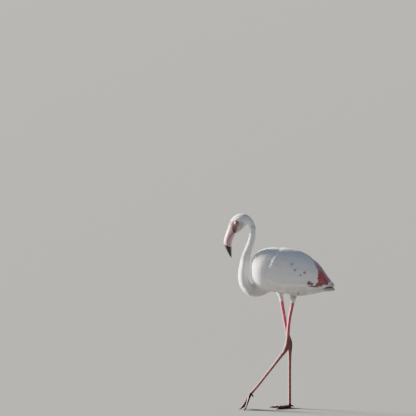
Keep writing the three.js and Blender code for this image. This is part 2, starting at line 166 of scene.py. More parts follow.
def cast_of(name, nodes):
    """One new object holding merged copies of CAD nodes."""
    alone(*(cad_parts[node] for node in nodes))
    bpy.ops.object.duplicate()
    if len(nodes) > 1:
        bpy.ops.object.join()
    cast = bpy.context.object
    cast.parent = None
    for key in list(cast.keys()):
        del cast[key]
    cast.name = name
    cast.data.materials.clear()
    with editing(cast):
        bpy.ops.mesh.remove_doubles(threshold=0.01 * MM)
    return cast


def read(items, key, width, kind=float):
    """A mesh's own numbers, in rows."""
    flat = np.empty(len(items) * width, kind)
    items.foreach_get(key, flat)
    return flat.reshape(-1, width)


def points_of(obj):
    return read(obj.data.vertices, "co", 3)


def set_points(obj, points):
    obj.data.vertices.foreach_set("co", np.ascontiguousarray(points, dtype=np.float32).ravel())
    obj.data.update()


def normals_of(obj):
    return read(obj.data.vertex_normals, "vector", 3)


def edges_of(obj):
    return read(obj.data.edges, "vertices", 2, int)


def all_gaps(points, others):
    """How far every point is from each of the others."""
    return norm(points[:, None] - others[None], axis=2)


def spread(values, edges, times):
    """Averages a value, or each of a row of them, per vertex with its neighbours' values."""
    values = np.array(values, float)
    if values.ndim > 1:
        return np.stack([spread(column, edges, times) for column in values.T], axis=1)
    ends = np.concatenate([edges, edges[:, ::-1]])
    count = np.bincount(ends[:, 0], minlength=len(values))
    for _ in range(times):
        total = np.bincount(ends[:, 0], weights=values[ends[:, 1]], minlength=len(values))
        values = 0.5 * values + 0.5 * total / np.maximum(count, 1)
    return values


def soften(obj, share, times):
    """Smooths a surface where, and as far as, share says."""
    points, edges = points_of(obj), edges_of(obj)
    for _ in range(times):
        points += share[:, None] * (spread(points, edges, 1) - points)
    set_points(obj, points)


def edge_distance(points, outline):
    """Signed distance of side-view points from a closed outline, positive inside."""
    flat = points[:, [0, 2]]
    gap = np.full(len(flat), 1e9)
    inside = np.zeros(len(flat), bool)
    for start, end in zip(outline, outline[1:] + outline[:1]):
        start, end = np.array(start), np.array(end)
        way = end - start
        share = np.clip(((flat - start) @ way) / (way @ way), 0, 1)
        gap = np.minimum(gap, norm(flat - start - share[:, None] * way, axis=1))
        crosses = (start[1] > flat[:, 1]) != (end[1] > flat[:, 1])
        with np.errstate(divide="ignore", invalid="ignore"):
            at = start[0] + way[0] * (flat[:, 1] - start[1]) / way[1]
        inside ^= crosses & (flat[:, 0] < at)
    return np.where(inside, gap, -gap)


def slices_of(node, count, heading, own_axis=True, margin=4 * MM):
    """Even cuts across a limb's solid: centres, half depths and half widths, along the heading."""
    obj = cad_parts[node]
    points, corners = points_of(obj), np.array([list(polygon.vertices) for polygon in obj.data.polygons])
    ends = np.concatenate([corners[:, [0, 1]], corners[:, [1, 2]], corners[:, [2, 0]]])
    centre = points.mean(0)
    axis = np.array(heading) / norm(heading)
    if own_axis:
        axis = np.linalg.svd(points - centre, full_matrices=False)[2][0]
        axis = axis * np.sign(axis @ np.array(heading))
    depth_way = np.cross(axis, (0, 1, 0))
    depth_way /= norm(depth_way)
    along = (points - centre) @ axis
    found = []
    for cut in np.linspace(along.min() + margin, along.max() - margin, count):
        low, high = along[ends[:, 0]] - cut, along[ends[:, 1]] - cut
        crossed = low * high < 0
        share = (low / (low - high))[crossed, None]
        hits = points[ends[crossed, 0]] * (1 - share) + points[ends[crossed, 1]] * share
        out, across = (hits - centre) @ depth_way, hits[:, 1]
        middle = centre + axis * cut + depth_way * (out.max() + out.min()) / 2
        middle[1] = (across.max() + across.min()) / 2
        found.append([*middle, (out.max() - out.min()) / 2, (across.max() - across.min()) / 2])
    return found


neck_line = np.array(
    slices_of("neck_upper", 6, (0, 0, -1)) + slices_of("neck_middle", 7, (0, 0, -1))
    + slices_of("neck_lower", 7, (0, 0, -1)) + slices_of("neck_base", 6, (1, 0, 0))
)

# Side-view outline of the head past the nape, where a finer cast of the head covers this one.
head_low, head_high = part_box("head")
head_outline = [
    (head_high.x - 22 * MM, head_low.z - 20 * MM), (head_high.x - 22 * MM, head_high.z + 30 * MM),
    (head_low.x - 30 * MM, head_high.z + 30 * MM), (head_low.x - 30 * MM, head_low.z - 20 * MM),
]

skin = cast_of("skin", BODY_NODES + PRIMARIES)
apply_modifier(skin, "DISPLACE", strength=CAST_GROWTH, mid_level=0.0)
apply_modifier(skin, "REMESH", mode="VOXEL", voxel_size=BODY_VOXEL)
apply_modifier(skin, "SMOOTH", factor=0.5, iterations=3)

points = points_of(skin)
neck_gap = all_gaps(points, neck_line[:, :3]) / neck_line[None, :, 3]
nearest = neck_gap.argmin(1)
neck_share = np.where(neck_gap.min(1) < NECK_REACH, 1 - nearest / (len(neck_line) - 1), 0)
thigh_low = min(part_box("thigh_left")[0].z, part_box("thigh_right")[0].z)
thigh_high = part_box("trunk")[0].z
inset = BODY_COAT + (NECK_COAT - BODY_COAT) * smoothstep(0.0, 0.4, neck_share)
below = smoothstep(thigh_high, thigh_low, points[:, 2])
inset = inset * (1 - below) + below * THIGH_COAT * smoothstep(thigh_low, thigh_high, points[:, 2])
in_head = smoothstep(0, 20 * MM, edge_distance(points, head_outline))
inset = inset * (1 - in_head) + in_head * 2 * NECK_COAT
inset = spread(inset, edges_of(skin), 6)
for _ in range(3):
    inward = spread(normals_of(skin), edges_of(skin), 10)
    inward /= norm(inward, axis=1, keepdims=True)
    set_points(skin, points_of(skin) - inward * inset[:, None] / 3)
apply_modifier(skin, "REMESH", mode="VOXEL", voxel_size=BODY_VOXEL)
apply_modifier(skin, "SMOOTH", factor=0.5, iterations=4)
points = points_of(skin)
flight_low, flight_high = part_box("primaries_left")
neck_low, neck_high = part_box("neck_base")
x, z = points[:, 0], points[:, 2]
soft = np.maximum(
    in_range(x, 0, flight_high.x) * in_range(z, flight_low.z, flight_high.z),
    in_range(x, neck_high.x - 45 * MM, neck_high.x) * in_range(z, neck_low.z, neck_high.z - 10 * MM),
)
soften(skin, soft, SOFTENED)
back_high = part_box("trunk")[1].z
soften(skin, in_range(z, back_high - 14 * MM, back_high, 8 * MM) * (x < 60 * MM), 30)


# The head's skin: feathered on the crown and cheeks, bare and red round the eye and back from the
# bill. Each eye looks out between lids, a low mound with an oval opening and a thin rim.
HEAD_VOXEL = 1.1 * MM
HEAD_COAT = 2.2 * MM
NAPE_COAT = 11.0 * MM
NAPE_BEHIND = 35 * MM         # how far behind the eye the nape begins
LID_OVER_EYE = 0.9 * MM
EYE_OPENING = (5.2 * MM, 4.5 * MM)          # half length and half height
LID_RIM = 0.55 * MM
# The bare face's edge from the side, in millimetres from the eye's centre, forward and up.
FACE_EDGE = [
    (-9.6, 2.5), (-7.6, 7.2), (-2.5, 9.8), (5, 10), (14, 7.6), (24, 3), (33, -2), (33, -60), (6, -56),
    (3, -42), (0.5, -31), (-2, -21), (-5.5, -12.5), (-8.4, -5),
]
eye_boxes = {side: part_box(f"eye_{side}") for side in SIDES}
eye_centres = {side: (low + high) / 2 for side, (low, high) in eye_boxes.items()}
eye_radius = (eye_boxes["left"][1].z - eye_boxes["left"][0].z) / 2
eye_place = eye_centres["left"]
face_outline = [(eye_place.x - forward * MM, eye_place.z + up * MM) for forward, up in FACE_EDGE]


def bare_face(points, grown=0.0):
    """1 on the bare skin of the face, 0 on feathered skin."""
    return smoothstep(-1.5 * MM, 1.5 * MM, edge_distance(points, face_outline) + grown)


def combine(obj, other, operation):
    """Joins another closed mesh to this one, or cuts it away, and deletes it."""
    apply_modifier(obj, "BOOLEAN", object=other, operation=operation, solver="MANIFOLD")
    bpy.data.objects.remove(other)


def lens(place, radii, name="tool"):
    """A closed ball stretched along x, y and z."""
    bpy.ops.object.select_all(action="DESELECT")
    bpy.ops.mesh.primitive_uv_sphere_add(segments=40, ring_count=24, radius=1, location=place)
    ball = bpy.context.object
    ball.name = name
    ball.scale = radii
    bpy.ops.object.transform_apply(location=True, rotation=True, scale=True)
    return ball


head = cast_of("head_skin", ["head", "eye_left", "eye_right"])
apply_modifier(head, "DISPLACE", strength=0.3 * MM, mid_level=0.0)
for centre in eye_centres.values():
    combine(head, lens(centre, [eye_radius + LID_OVER_EYE] * 3), "UNION")
apply_modifier(head, "REMESH", mode="VOXEL", voxel_size=HEAD_VOXEL)
apply_modifier(head, "SMOOTH", factor=0.5, iterations=14)
points = points_of(head)
seam_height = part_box("neck_upper")[1].z
on_nape = points[:, 0] > eye_place.x + NAPE_BEHIND
on_nape = on_nape * smoothstep(seam_height + 16 * MM, seam_height + 1 * MM, points[:, 2])
inset = (HEAD_COAT + (NAPE_COAT - HEAD_COAT) * on_nape) * (1 - bare_face(points))
inset = spread(inset, edges_of(head), 6)
inward = normals_of(head)
inward[:, 2] *= 1 - np.clip(2 * on_nape, 0, 1)
set_points(head, points - inward * inset[:, None])
for side, out in SIDES.items():
    centre = eye_centres[side]
    combine(head, lens(centre, [eye_radius + 0.1 * MM] * 3), "DIFFERENCE")
    front = centre + Vector((0, out * eye_radius, 0))
    combine(head, lens(front, (EYE_OPENING[0], 3 * MM, EYE_OPENING[1])), "DIFFERENCE")
    rim_out = math.sqrt(eye_radius**2 - EYE_OPENING[0] * EYE_OPENING[1]) + 0.35 * MM
    bpy.ops.mesh.primitive_torus_add(
        major_radius=1, minor_radius=LID_RIM / EYE_OPENING[1], major_segments=40, minor_segments=8,
        location=centre + Vector((0, out * rim_out, 0)), rotation=(math.pi / 2, 0, 0),
    )
    rim = bpy.context.object
    rim.scale = (EYE_OPENING[0], EYE_OPENING[1], EYE_OPENING[1])
    bpy.ops.object.transform_apply(location=True, rotation=True, scale=True)
    combine(head, rim, "UNION")
combine(skin, head, "UNION")
points = points_of(skin)
at_seam = in_range(points[:, 2], seam_height - 6 * MM, seam_height + 9 * MM, 7 * MM)
soften(skin, at_seam * (points[:, 0] > eye_place.x + NAPE_BEHIND + 3 * MM), 90)


# The bare legs, from the thigh's feathers down to the toe joint: a tube of overlapping scutes,
# broad ones in front and behind, small ones at the sides, over shin, swollen ankle and tarsus.
SCUTE = 4.6 * MM
SCUTE_RELIEF = 0.42 * MM
SIDE_RELIEF = 0.22 * MM
LEG_SIDES = 20
EVEN_OUT = 13 * MM            # the length over which a limb's measured line is smoothed
INTO_THIGH = 34 * MM
INTO_FOOT = 9 * MM


def even_line(rows):
    """A limb's rows at every millimetre, smoothed along its length."""
    rows = np.array(rows)
    run = np.concatenate([[0], np.cumsum(norm(np.diff(rows[:, :3], axis=0), axis=1))])
    places = np.arange(0, run[-1], MM)
    fine = np.stack([np.interp(places, run, rows[:, k]) for k in range(rows.shape[1])], axis=1)
    half = int(EVEN_OUT / MM / 2)
    padded = np.concatenate([
        2 * fine[0] - fine[half:0:-1], fine, 2 * fine[-1] - fine[-2:-half - 2:-1]
    ])
    kernel = np.ones(2 * half + 1) / (2 * half + 1)
    return np.stack([np.convolve(column, kernel, "valid") for column in padded.T], axis=1)


def leg_line(side):
    """A leg's centres, half depths and half widths at every millimetre, from thigh to toe joint."""
    shin = slices_of(f"shin_{side}", 9, (0, 0, -1))
    tarsus = slices_of(f"tarsus_{side}", 10, (0, 0, -1))
    across_ankle = np.array(tarsus[0][:3]) - np.array(shin[-1][:3])
    ankle = slices_of(f"ankle_{side}", 9, across_ankle, own_axis=False, margin=5 * MM)
    rows = np.array(shin + ankle + tarsus)
    ends = []
    for row, inner, further in ((rows[0], rows[1], INTO_THIGH), (rows[-1], rows[-2], INTO_FOOT)):
        out = row[:3] - inner[:3]
        ends.append([*(row[:3] + out * further / norm(out)), *row[3:]])
    return even_line([ends[0], *rows, ends[1]])


def scuted_leg(side):
    line = leg_line(side)
    ways = np.gradient(line[:, :3], axis=0)
    ways /= norm(ways, axis=1, keepdims=True)
    count = int((len(line) - 1) * MM / SCUTE)
    angles = 2 * np.pi * np.arange(LEG_SIDES) / LEG_SIDES
    front_share = smoothstep(0.25, 0.8, np.abs(np.cos(angles)))
    rings = []
    for number in range(count):
        for phase in (0.03, 0.47, 0.53, 0.97):
            place = (number + phase) * SCUTE / MM
            row = np.array([np.interp(place, np.arange(len(line)), line[:, k]) for k in range(5)])
            way = ways[int(place)]
            forward = np.cross((0, 1, 0), way)
            forward *= -np.sign(forward[0]) / norm(forward)
            across = np.cross(way, forward)
            shifted = phase + 0.5 * (np.cos(angles) < 0)
            broad = SCUTE_RELIEF * ((shifted % 1) - 0.5)
            small = SIDE_RELIEF * (((2 * phase) % 1) - 0.5)
            relief = front_share * broad + (1 - front_share) * small
            rings.append(
                row[:3] + np.outer((row[3] + relief) * np.cos(angles), forward)
                + np.outer((row[4] + relief) * np.sin(angles), across)
            )
    corners = np.arange(len(rings) * LEG_SIDES).reshape(-1, LEG_SIDES)
    after = np.roll(corners, -1, axis=1)
    faces = np.stack([corners[:-1], after[:-1], after[1:], corners[1:]], axis=2).reshape(-1, 4).tolist()
    faces += [corners[0, ::-1].tolist(), corners[-1].tolist()]
    mesh = bpy.data.meshes.new(f"leg_skin_{side}")
    mesh.from_pydata(np.concatenate(rings).tolist(), [], faces)
    leg = bpy.data.objects.new(mesh.name, mesh)
    bpy.context.scene.collection.objects.link(leg)
    with editing(leg):
        bpy.ops.mesh.normals_make_consistent(inside=False)
    return leg


# The feet: three webbed toes and a small raised hind toe on each, with scutes along the toes'
# tops and thin wrinkled webs between them.
FOOT_VOXEL = 1.15 * MM
TOE_SCUTE = 3.6 * MM
TOE_RELIEF = 0.35 * MM


def foot_skin(side):
    foot = cast_of(f"foot_skin_{side}", [f"foot_{side}"])
    apply_modifier(foot, "DISPLACE", strength=0.25 * MM, mid_level=0.0)
    apply_modifier(foot, "REMESH", mode="VOXEL", voxel_size=FOOT_VOXEL)
    apply_modifier(foot, "SMOOTH", factor=0.5, iterations=5)
    points, normals = points_of(foot), normals_of(foot)
    reach = norm(points - leg_line(side)[-1, :3], axis=1)
    on_toe = smoothstep(3.4 * MM, 5 * MM, thickness(foot, points, normals))
    on_toe *= smoothstep(-0.1, 0.4, normals[:, 2])
    points += normals * (on_toe * TOE_RELIEF * ((reach / TOE_SCUTE) % 1 - 0.5))[:, None]
    points[:, 2] = np.maximum(points[:, 2], 0)
    set_points(foot, points)
    return foot


def thickness(obj, points, normals):
    """How far it is from each point straight through the solid to its other side."""
    tree = BVHTree.FromObject(obj, bpy.context.evaluated_depsgraph_get())
    starts = points - normals * 0.2 * MM
    ways = (-normals).tolist()
    return np.array([tree.ray_cast(start, way)[3] or 0 for start, way in zip(starts.tolist(), ways)])


for side in SIDES:
    combine(skin, scuted_leg(side), "UNION")
    combine(skin, foot_skin(side), "UNION")


# The skin's finish: white under the feathers, raw pink on the bare face, darker at the lids and
# the corner of the mouth; the legs deep pink with duskier joints and dark red feet.
SKIN_WHITE = (0.80, 0.76, 0.75, 1)
FACE_RED = (0.32, 0.120, 0.105, 1)
FACE_PINK = (0.34, 0.195, 0.185, 1)
FACE_DARK = (0.075, 0.048, 0.045, 1)
SHIN_PINK = (0.52, 0.105, 0.165, 1)
TARSUS_PINK = (0.27, 0.105, 0.105, 1)
JOINT_RED = (0.17, 0.052, 0.052, 1)
FOOT_RED = (0.048, 0.011, 0.010, 1)
SCALE_SIZE = 2.3 * MM
FACE_DARKENS = (0.804, 0.778)               # heights, from the cheek down to the mouth's corner
LEG_DULLS = (0.36, 0.25)                    # heights, from the shin down to the tarsus


def store(obj, name, values):
    """Keeps one number per vertex on a mesh, for its material to read."""
    attribute = obj.data.attributes.new(name, "FLOAT", "POINT")
    attribute.data.foreach_set("value", np.asarray(values, dtype=np.float32))


class Paint:
    """A material being mixed from plain nodes, in the order in which a painter would lay it."""

    def __init__(self, name, roughness, **fixed):
        self.material = bpy.data.materials.new(name)
        self.material.use_nodes = True
        self.tree = self.material.node_tree
        self.shader = self.tree.nodes["Principled BSDF"]
        self.shader.inputs["Roughness"].default_value = roughness
        for socket, value in fixed.items():
            self.shader.inputs[socket.replace("_", " ")].default_value = value
        self.place = self.tree.nodes.new("ShaderNodeTexCoord").outputs["Object"]

    def node(self, kind, inputs=(), **settings):
        """One node, fed with plain values or with what other nodes give."""
        made = self.tree.nodes.new("ShaderNode" + kind)
        for key, value in settings.items():
            setattr(made, key, value)
        for socket, value in dict(inputs).items():
            if isinstance(value, bpy.types.NodeSocket):
                self.tree.links.new(value, made.inputs[socket])
            else:
                made.inputs[socket].default_value = value
        return made

    def number(self, name):
        """A number kept on the mesh."""
        return self.node("Attribute", attribute_name=name).outputs["Fac"]

    def at(self, axis):
        """The place along one of the object's own axes."""
        return self.node("SeparateXYZ", {0: self.place}).outputs[axis]

    def noise(self, scale, detail=3, stretch=None):
        """Cloudy noise over the piece, between about 0.25 and 0.75."""
        place = self.place
        if stretch:
            place = self.node("Mapping", {"Vector": place, "Scale": stretch}).outputs["Vector"]
        inputs = {"Vector": place, "Scale": scale, "Detail": detail, "Roughness": 0.55}
        return self.node("TexNoise", inputs).outputs["Fac"]

    def sum(self, operation, *values):
        """One step of arithmetic on numbers."""
        return self.node("Math", dict(enumerate(values)), operation=operation).outputs[0]

    def ramp(self, value, low, high, start=0.0, end=1.0):
        """A number that goes smoothly from start to end as value goes from low to high."""
        inputs = {"Value": value, "From Min": low, "From Max": high, "To Min": start, "To Max": end}
        return self.node("MapRange", inputs, interpolation_type="SMOOTHSTEP").outputs["Result"]

    def mix(self, share, under, over):
        """One colour laid over another as far as share says."""
        return self.node("Mix", {0: share, 6: under, 7: over}, data_type="RGBA").outputs[2]

    def colour(self, colour):
        """Takes this as the finished colour."""
        self.tree.links.new(colour, self.shader.inputs["Base Color"])

    def roughness(self, value):
        """Takes this as how dull the surface is."""
        self.tree.links.new(value, self.shader.inputs["Roughness"])

    def bump(self, height, depth, strength=1.0, below=None):
        """Fine relief, on top of any that lies below it."""
        inputs = {"Height": height, "Distance": depth, "Strength": strength}
        if below:
            inputs["Normal"] = below
        made = self.node("Bump", inputs).outputs["Normal"]
        self.tree.links.new(made, self.shader.inputs["Normal"])
        return made


def unwrap(obj):
    """Lays the surface out flat, in islands, as the map that colours are baked to."""
    with editing(obj):
        bpy.ops.uv.smart_project(angle_limit=math.radians(66), island_margin=0.001)
    obj.data.uv_layers[0].name = "OFBake"


def dress(obj, material):
    """Gives a piece one material all over."""
    obj.data.materials.clear()
    obj.data.materials.append(material)
    obj.data.polygons.foreach_set("material_index", np.zeros(len(obj.data.polygons), dtype=np.int32))


points = points_of(skin)
x, height = points[:, 0], points[:, 2]
face = bare_face(points, 2.5 * MM) * (x < head_high.x - 30 * MM) * (height > head_low.z - 30 * MM)
eye_gap = all_gaps(points, np.array(list(eye_centres.values()))).min(1)
leg_gap, joint = np.full(len(points), 1e9), np.zeros(len(points))
for side in SIDES:
    gap = all_gaps(points, leg_line(side)[::6, :3]).min(1)
    low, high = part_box(f"ankle_{side}")
    swell = smoothstep(0.75, 0.2, np.abs(height - (low.z + high.z) / 2) / (high.z - low.z))
    joint = np.where(gap < leg_gap, swell, joint)
    leg_gap = np.minimum(leg_gap, gap)
left_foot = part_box("foot_left")[1]
foot_height = np.where(x < left_foot.x, left_foot.z, 16 * MM)
store(skin, "face", face)
store(skin, "lid", face * smoothstep(eye_radius + 1.5 * MM, eye_radius - 1.2 * MM, eye_gap))
store(skin, "leg", smoothstep(thigh_high - 10 * MM, thigh_low, height))
store(skin, "joint", joint)
store(skin, "foot", smoothstep(foot_height + 14 * MM, foot_height - 8 * MM, height))

paint = Paint("flamingo_skin", 0.55)
blotch, fine = paint.noise(60), paint.noise(420)
cells = {"Vector": paint.place, "Scale": 1 / SCALE_SIZE}
scales = paint.node("TexVoronoi", cells, feature="DISTANCE_TO_EDGE").outputs["Distance"]
dark_end = paint.ramp(paint.at("Z"), *FACE_DARKENS, 0, 0.92)
face_tone = paint.mix(paint.ramp(blotch, 0.35, 0.65), FACE_PINK, FACE_RED)
face_tone = paint.mix(dark_end, face_tone, FACE_DARK)
face_tone = paint.mix(paint.number("lid"), face_tone, FACE_RED)
leg_tone = paint.mix(paint.ramp(paint.at("Z"), *LEG_DULLS), SHIN_PINK, TARSUS_PINK)
leg_tone = paint.mix(paint.ramp(blotch, 0.4, 0.7, 0.0, 0.35), leg_tone, JOINT_RED)
leg_tone = paint.mix(paint.number("joint"), leg_tone, JOINT_RED)
leg_tone = paint.mix(paint.number("foot"), leg_tone, FOOT_RED)
# Darker in the seams between the small scales: painted shade in the grooves.
leg_tone = paint.mix(paint.ramp(scales, 0.09, 0.0, 0.0, 0.45), leg_tone, JOINT_RED)
tone = paint.mix(paint.number("face"), SKIN_WHITE, face_tone)
paint.colour(paint.mix(paint.number("leg"), tone, leg_tone))
paint.roughness(paint.ramp(fine, 0.3, 0.7, 0.42, 0.62))
pores = paint.bump(fine, 0.3 * MM, 0.5)
paint.bump(paint.sum("MULTIPLY", paint.ramp(scales, 0.0, 0.16), paint.number("leg")), 0.35 * MM, 0.7, pores)

unwrap(skin)
dress(skin, paint.material)
bpy.ops.object.shade_smooth_by_angle(angle=math.radians(55))
LEG_NODES = [f"{part}_{side}" for part in ("shin", "ankle", "tarsus", "foot") for side in SIDES]
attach(skin, "root")
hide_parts(*BODY_NODES, *LEG_NODES)


# The eyes: balls set behind the lids, each with a pale yellow iris round a small black pupil, dark
# at its rim, under a clear wet cornea.
PUPIL = 1.9 * MM
IRIS = 4.3 * MM
CORNEA_RISE = 0.5 * MM
IRIS_YELLOW = (0.42, 0.30, 0.09, 1)
IRIS_ORANGE = (0.26, 0.12, 0.03, 1)
EYE_BLACK = (0.008, 0.007, 0.008, 1)

for side, out in SIDES.items():
    centre = eye_centres[side]
    eye = lens(centre, [eye_radius] * 3, f"eyeball_{side}")
    points = points_of(eye)
    aside = np.hypot(points[:, 0] - centre.x, points[:, 2] - centre.z)
    facing = (points[:, 1] - centre.y) * out > 0
    points[:, 1] += out * facing * CORNEA_RISE * smoothstep(IRIS, 0, aside)
    set_points(eye, points)
    store(eye, "aside", np.where(facing, aside, eye_radius) / MM)
    paint = Paint(f"eye_{side}", 0.08, Coat_Weight=1.0, Coat_Roughness=0.02, IOR=1.38)
    aside = paint.number("aside")
    iris = paint.mix(paint.ramp(paint.noise(1500), 0.35, 0.65, 0, 0.5), IRIS_YELLOW, IRIS_ORANGE)
    iris = paint.mix(paint.ramp(aside, PUPIL / MM + 0.9, PUPIL / MM), iris, IRIS_ORANGE)
    iris = paint.mix(paint.ramp(aside, PUPIL / MM + 0.12, PUPIL / MM - 0.12), iris, EYE_BLACK)
    paint.colour(paint.mix(paint.ramp(aside, IRIS / MM - 0.25, IRIS / MM + 0.2), iris, EYE_BLACK))
    eye.data.materials.append(paint.material)
    alone(eye)
    bpy.ops.object.shade_smooth()
    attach(eye, "root")
    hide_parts(f"eye_{side}")


# The bill: a horny sheath over each jaw, bent down in the middle. The upper is a narrow lid with
# slit nostrils and a groove along each side; the lower is a deep trough. Both end black.
BILL_LEVELS = 4
MOUTH_CREASE = 0.82
BASE_INTO_HEAD = 6 * MM
NOSTRIL = (6.8 * MM, 0.85 * MM, 1.1 * MM)   # half sizes: along the bill, into it, across its side
NOSTRIL_FROM_BASE = 20 * MM
NOSTRIL_PLACE = (12 * MM, 15 * MM)          # above the mouth line and out from it
BILL_PINK = (0.64, 0.36, 0.40, 1)
BILL_PALE = (0.76, 0.52, 0.52, 1)
BILL_LILAC = (0.40, 0.24, 0.30, 1)
BILL_BLACK = (0.014, 0.011, 0.014, 1)
MOUTH_SHADE = (0.10, 0.05, 0.06, 1)


def facing_rows(part, other, reach):
    """The points of one of the bill's solids that lie within reach of another."""
    points = points_of(bill_nodes[part])
    tree = BVHTree.FromObject(bill_nodes[other], bpy.context.evaluated_depsgraph_get())
    return points[[tree.find_nearest(point, reach)[0] is not None for point in points.tolist()]]


def bill_places(points):
    """Where points lie, in mm: along the mouth line, off it to ridge or keel, and into the black."""
    gaps = all_gaps(points[:, [0, 2]], mouth_line[:, [0, 2]])
    return gaps.argmin(1).astype(float), gaps.min(1) / MM, (points - black_middle) @ black_way / MM


bill_nodes = {name: cast_of(name, [f"bill_{name}"]) for name in ("upper", "lower", "tip_upper", "tip_lower")}
black_rows = np.concatenate([
    facing_rows("upper", "tip_upper", 0.6 * MM), facing_rows("lower", "tip_lower", 0.6 * MM)
])
black_middle = black_rows.mean(0)
tip_points = points_of(bill_nodes["tip_upper"])
black_way = np.linalg.svd(black_rows - black_middle)[2][2]
black_way *= np.sign(black_way @ (tip_points[tip_points[:, 2].argmin()] - black_middle))
mouth_points = np.concatenate([
    facing_rows("upper", "lower", 0.7 * MM), facing_rows("tip_upper", "tip_lower", 0.7 * MM)
])
mouth_line = []
for height in np.linspace(mouth_points[:, 2].max(), mouth_points[:, 2].min(), 16):
    level = mouth_points[np.abs(mouth_points[:, 2] - height) < 7 * MM]
    mouth_line.append((level[:, 0].mean(), midplane, height, 0, 0))
mouth_line = even_line(mouth_line)[:, :3]

for half in ("upper", "lower"):
    bill, tip = bill_nodes[half], bill_nodes[f"tip_{half}"]
    for part in (bill, tip):
        centres, normals = read(part.data.polygons, "center", 3), read(part.data.polygons, "normal", 3)
        at_join = np.abs((centres - black_middle) @ black_way) < 1.5 * MM
        with editing(part, at_join & (np.abs(normals @ black_way) > 0.8)):
            bpy.ops.mesh.delete(type="FACE")
    alone(bill, tip)
    bpy.ops.object.join()
    bill.name = f"bill_{half}_horn"
    with editing(bill):
        bpy.ops.mesh.remove_doubles(threshold=0.45 * MM)
        bpy.ops.mesh.tris_convert_to_quads(
            face_threshold=math.radians(50), shape_threshold=math.radians(60)
        )
    base_way = mouth_line[0] - mouth_line[8]
    base_way = base_way / norm(base_way)
    centres, normals = read(bill.data.polygons, "center", 3), read(bill.data.polygons, "normal", 3)
    at_base = ((centres - mouth_line[0]) @ base_way > -16 * MM) & (normals @ base_way > 0.35)
    with editing(bill, at_base & (normals[:, 0] > 0.5)):
        bpy.ops.mesh.extrude_region_move(
            TRANSFORM_OT_translate={"value": (0.8 * BASE_INTO_HEAD, 0, 0.5 * BASE_INTO_HEAD)}
        )
        bpy.ops.transform.resize(value=(0.8, 0.8, 0.8))
        bpy.ops.mesh.select_mode(type="EDGE")
        bpy.ops.mesh.select_all(action="DESELECT")
        bpy.ops.mesh.edges_select_sharp(sharpness=math.radians(50))
        bpy.ops.transform.edge_crease(value=MOUTH_CREASE)
    apply_modifier(bill, "SUBSURF", levels=BILL_LEVELS, render_levels=BILL_LEVELS)

    points, normals = points_of(bill), normals_of(bill)
    along, off, _ = bill_places(points)
    across = (points[:, 1] - midplane) / MM
    wrinkles = np.sin(along * 1.9 + 2.2 * np.sin(off * 0.35) + points[:, 1] / MM * 0.25)
    relief = -0.10 * smoothstep(42, 6, along) * smoothstep(0.3, 1, wrinkles)
    if half == "upper":
        groove = np.exp(-((off - (7.5 - 0.035 * along)) / 0.9) ** 2) * (np.abs(normals[:, 1]) > 0.3)
        relief -= 0.55 * groove * smoothstep(14, 26, along)
        relief += 0.35 * np.exp(-(across / 3.0) ** 2) * (off > 4) * smoothstep(0, 30, along)
    else:
        relief += 0.12 * np.sin(off * 2.4) * smoothstep(3, 7, off) * smoothstep(8, 20, along)
    inside = (np.abs(across) < 10 - 0.06 * along) & (off < 2.2)
    relief += np.where(inside, 0.45, -0.3 * np.exp(-(off / 1.1) ** 2))
    set_points(bill, points + normals * (relief * MM)[:, None])
    if half == "upper":
        place = int(NOSTRIL_FROM_BASE / MM)
        way = mouth_line[place + 3] - mouth_line[place - 3]
        way /= norm(way)
        up = np.array((way[2], 0, -way[0])) * -np.sign(way[2])
        for out in SIDES.values():
            wanted = mouth_line[place] + NOSTRIL_PLACE[0] * up + (0, out * NOSTRIL_PLACE[1], 0)
            slit = lens((0, 0, 0), NOSTRIL, "nostril")
            slit.rotation_euler = (0, -math.atan2(way[2], way[0]), 0)
            slit.location = points[norm(points - wanted, axis=1).argmin()]
            bpy.ops.object.transform_apply(location=True, rotation=True, scale=True)
            combine(bill, slit, "DIFFERENCE")
        points = points_of(bill)
    _, off, into_black = bill_places(points)
    store(bill, "off", off)
    store(bill, "black", into_black)

    paint = Paint(f"bill_horn_{half}", 0.36, Coat_Weight=0.25, Coat_Roughness=0.25)
    cloud, streak, off = paint.noise(70), paint.noise(260, 4, (1.0, 1.0, 0.12)), paint.number("off")
    if half == "upper":
        # Paler towards the ridge: painted light along the top of the upper bill.
        pink = paint.mix(paint.ramp(off, 6, 15), BILL_PINK, BILL_PALE)
    else:
        pink = paint.mix(paint.ramp(off, 2, 10), BILL_PINK, BILL_LILAC)
    pink = paint.mix(paint.ramp(streak, 0.45, 0.75, 0, 0.5), pink, BILL_LILAC)
    pink = paint.mix(paint.ramp(cloud, 0.5, 0.75, 0, 0.45), pink, BILL_PALE)
    # Dark along the mouth line: painted shade in the crease where the jaws meet.
    pink = paint.mix(paint.ramp(off, 2.2, 0.6, 0, 0.9), pink, MOUTH_SHADE)
    edge = paint.sum("ADD", paint.number("black"), paint.ramp(cloud, 0.3, 0.7, -1.6, 1.6))
    paint.colour(paint.mix(paint.ramp(edge, -0.8, 1.1), pink, BILL_BLACK))
    paint.roughness(paint.ramp(streak, 0.3, 0.7, 0.30, 0.46))
    paint.bump(streak, 0.35 * MM, 0.35)
    dress(bill, paint.material)
    alone(bill)
    bpy.ops.object.shade_smooth_by_angle(angle=math.radians(40))
    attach(bill, "root")
    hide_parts(f"bill_{half}", f"bill_tip_{half}")


# The claws: short blunt dark horn at the ends of the front toes, slightly glossy, and flat where
# they rest on the floor.
CLAW_DARK = (0.030, 0.018, 0.018, 1)
CLAW_BROWN = (0.11, 0.06, 0.05, 1)

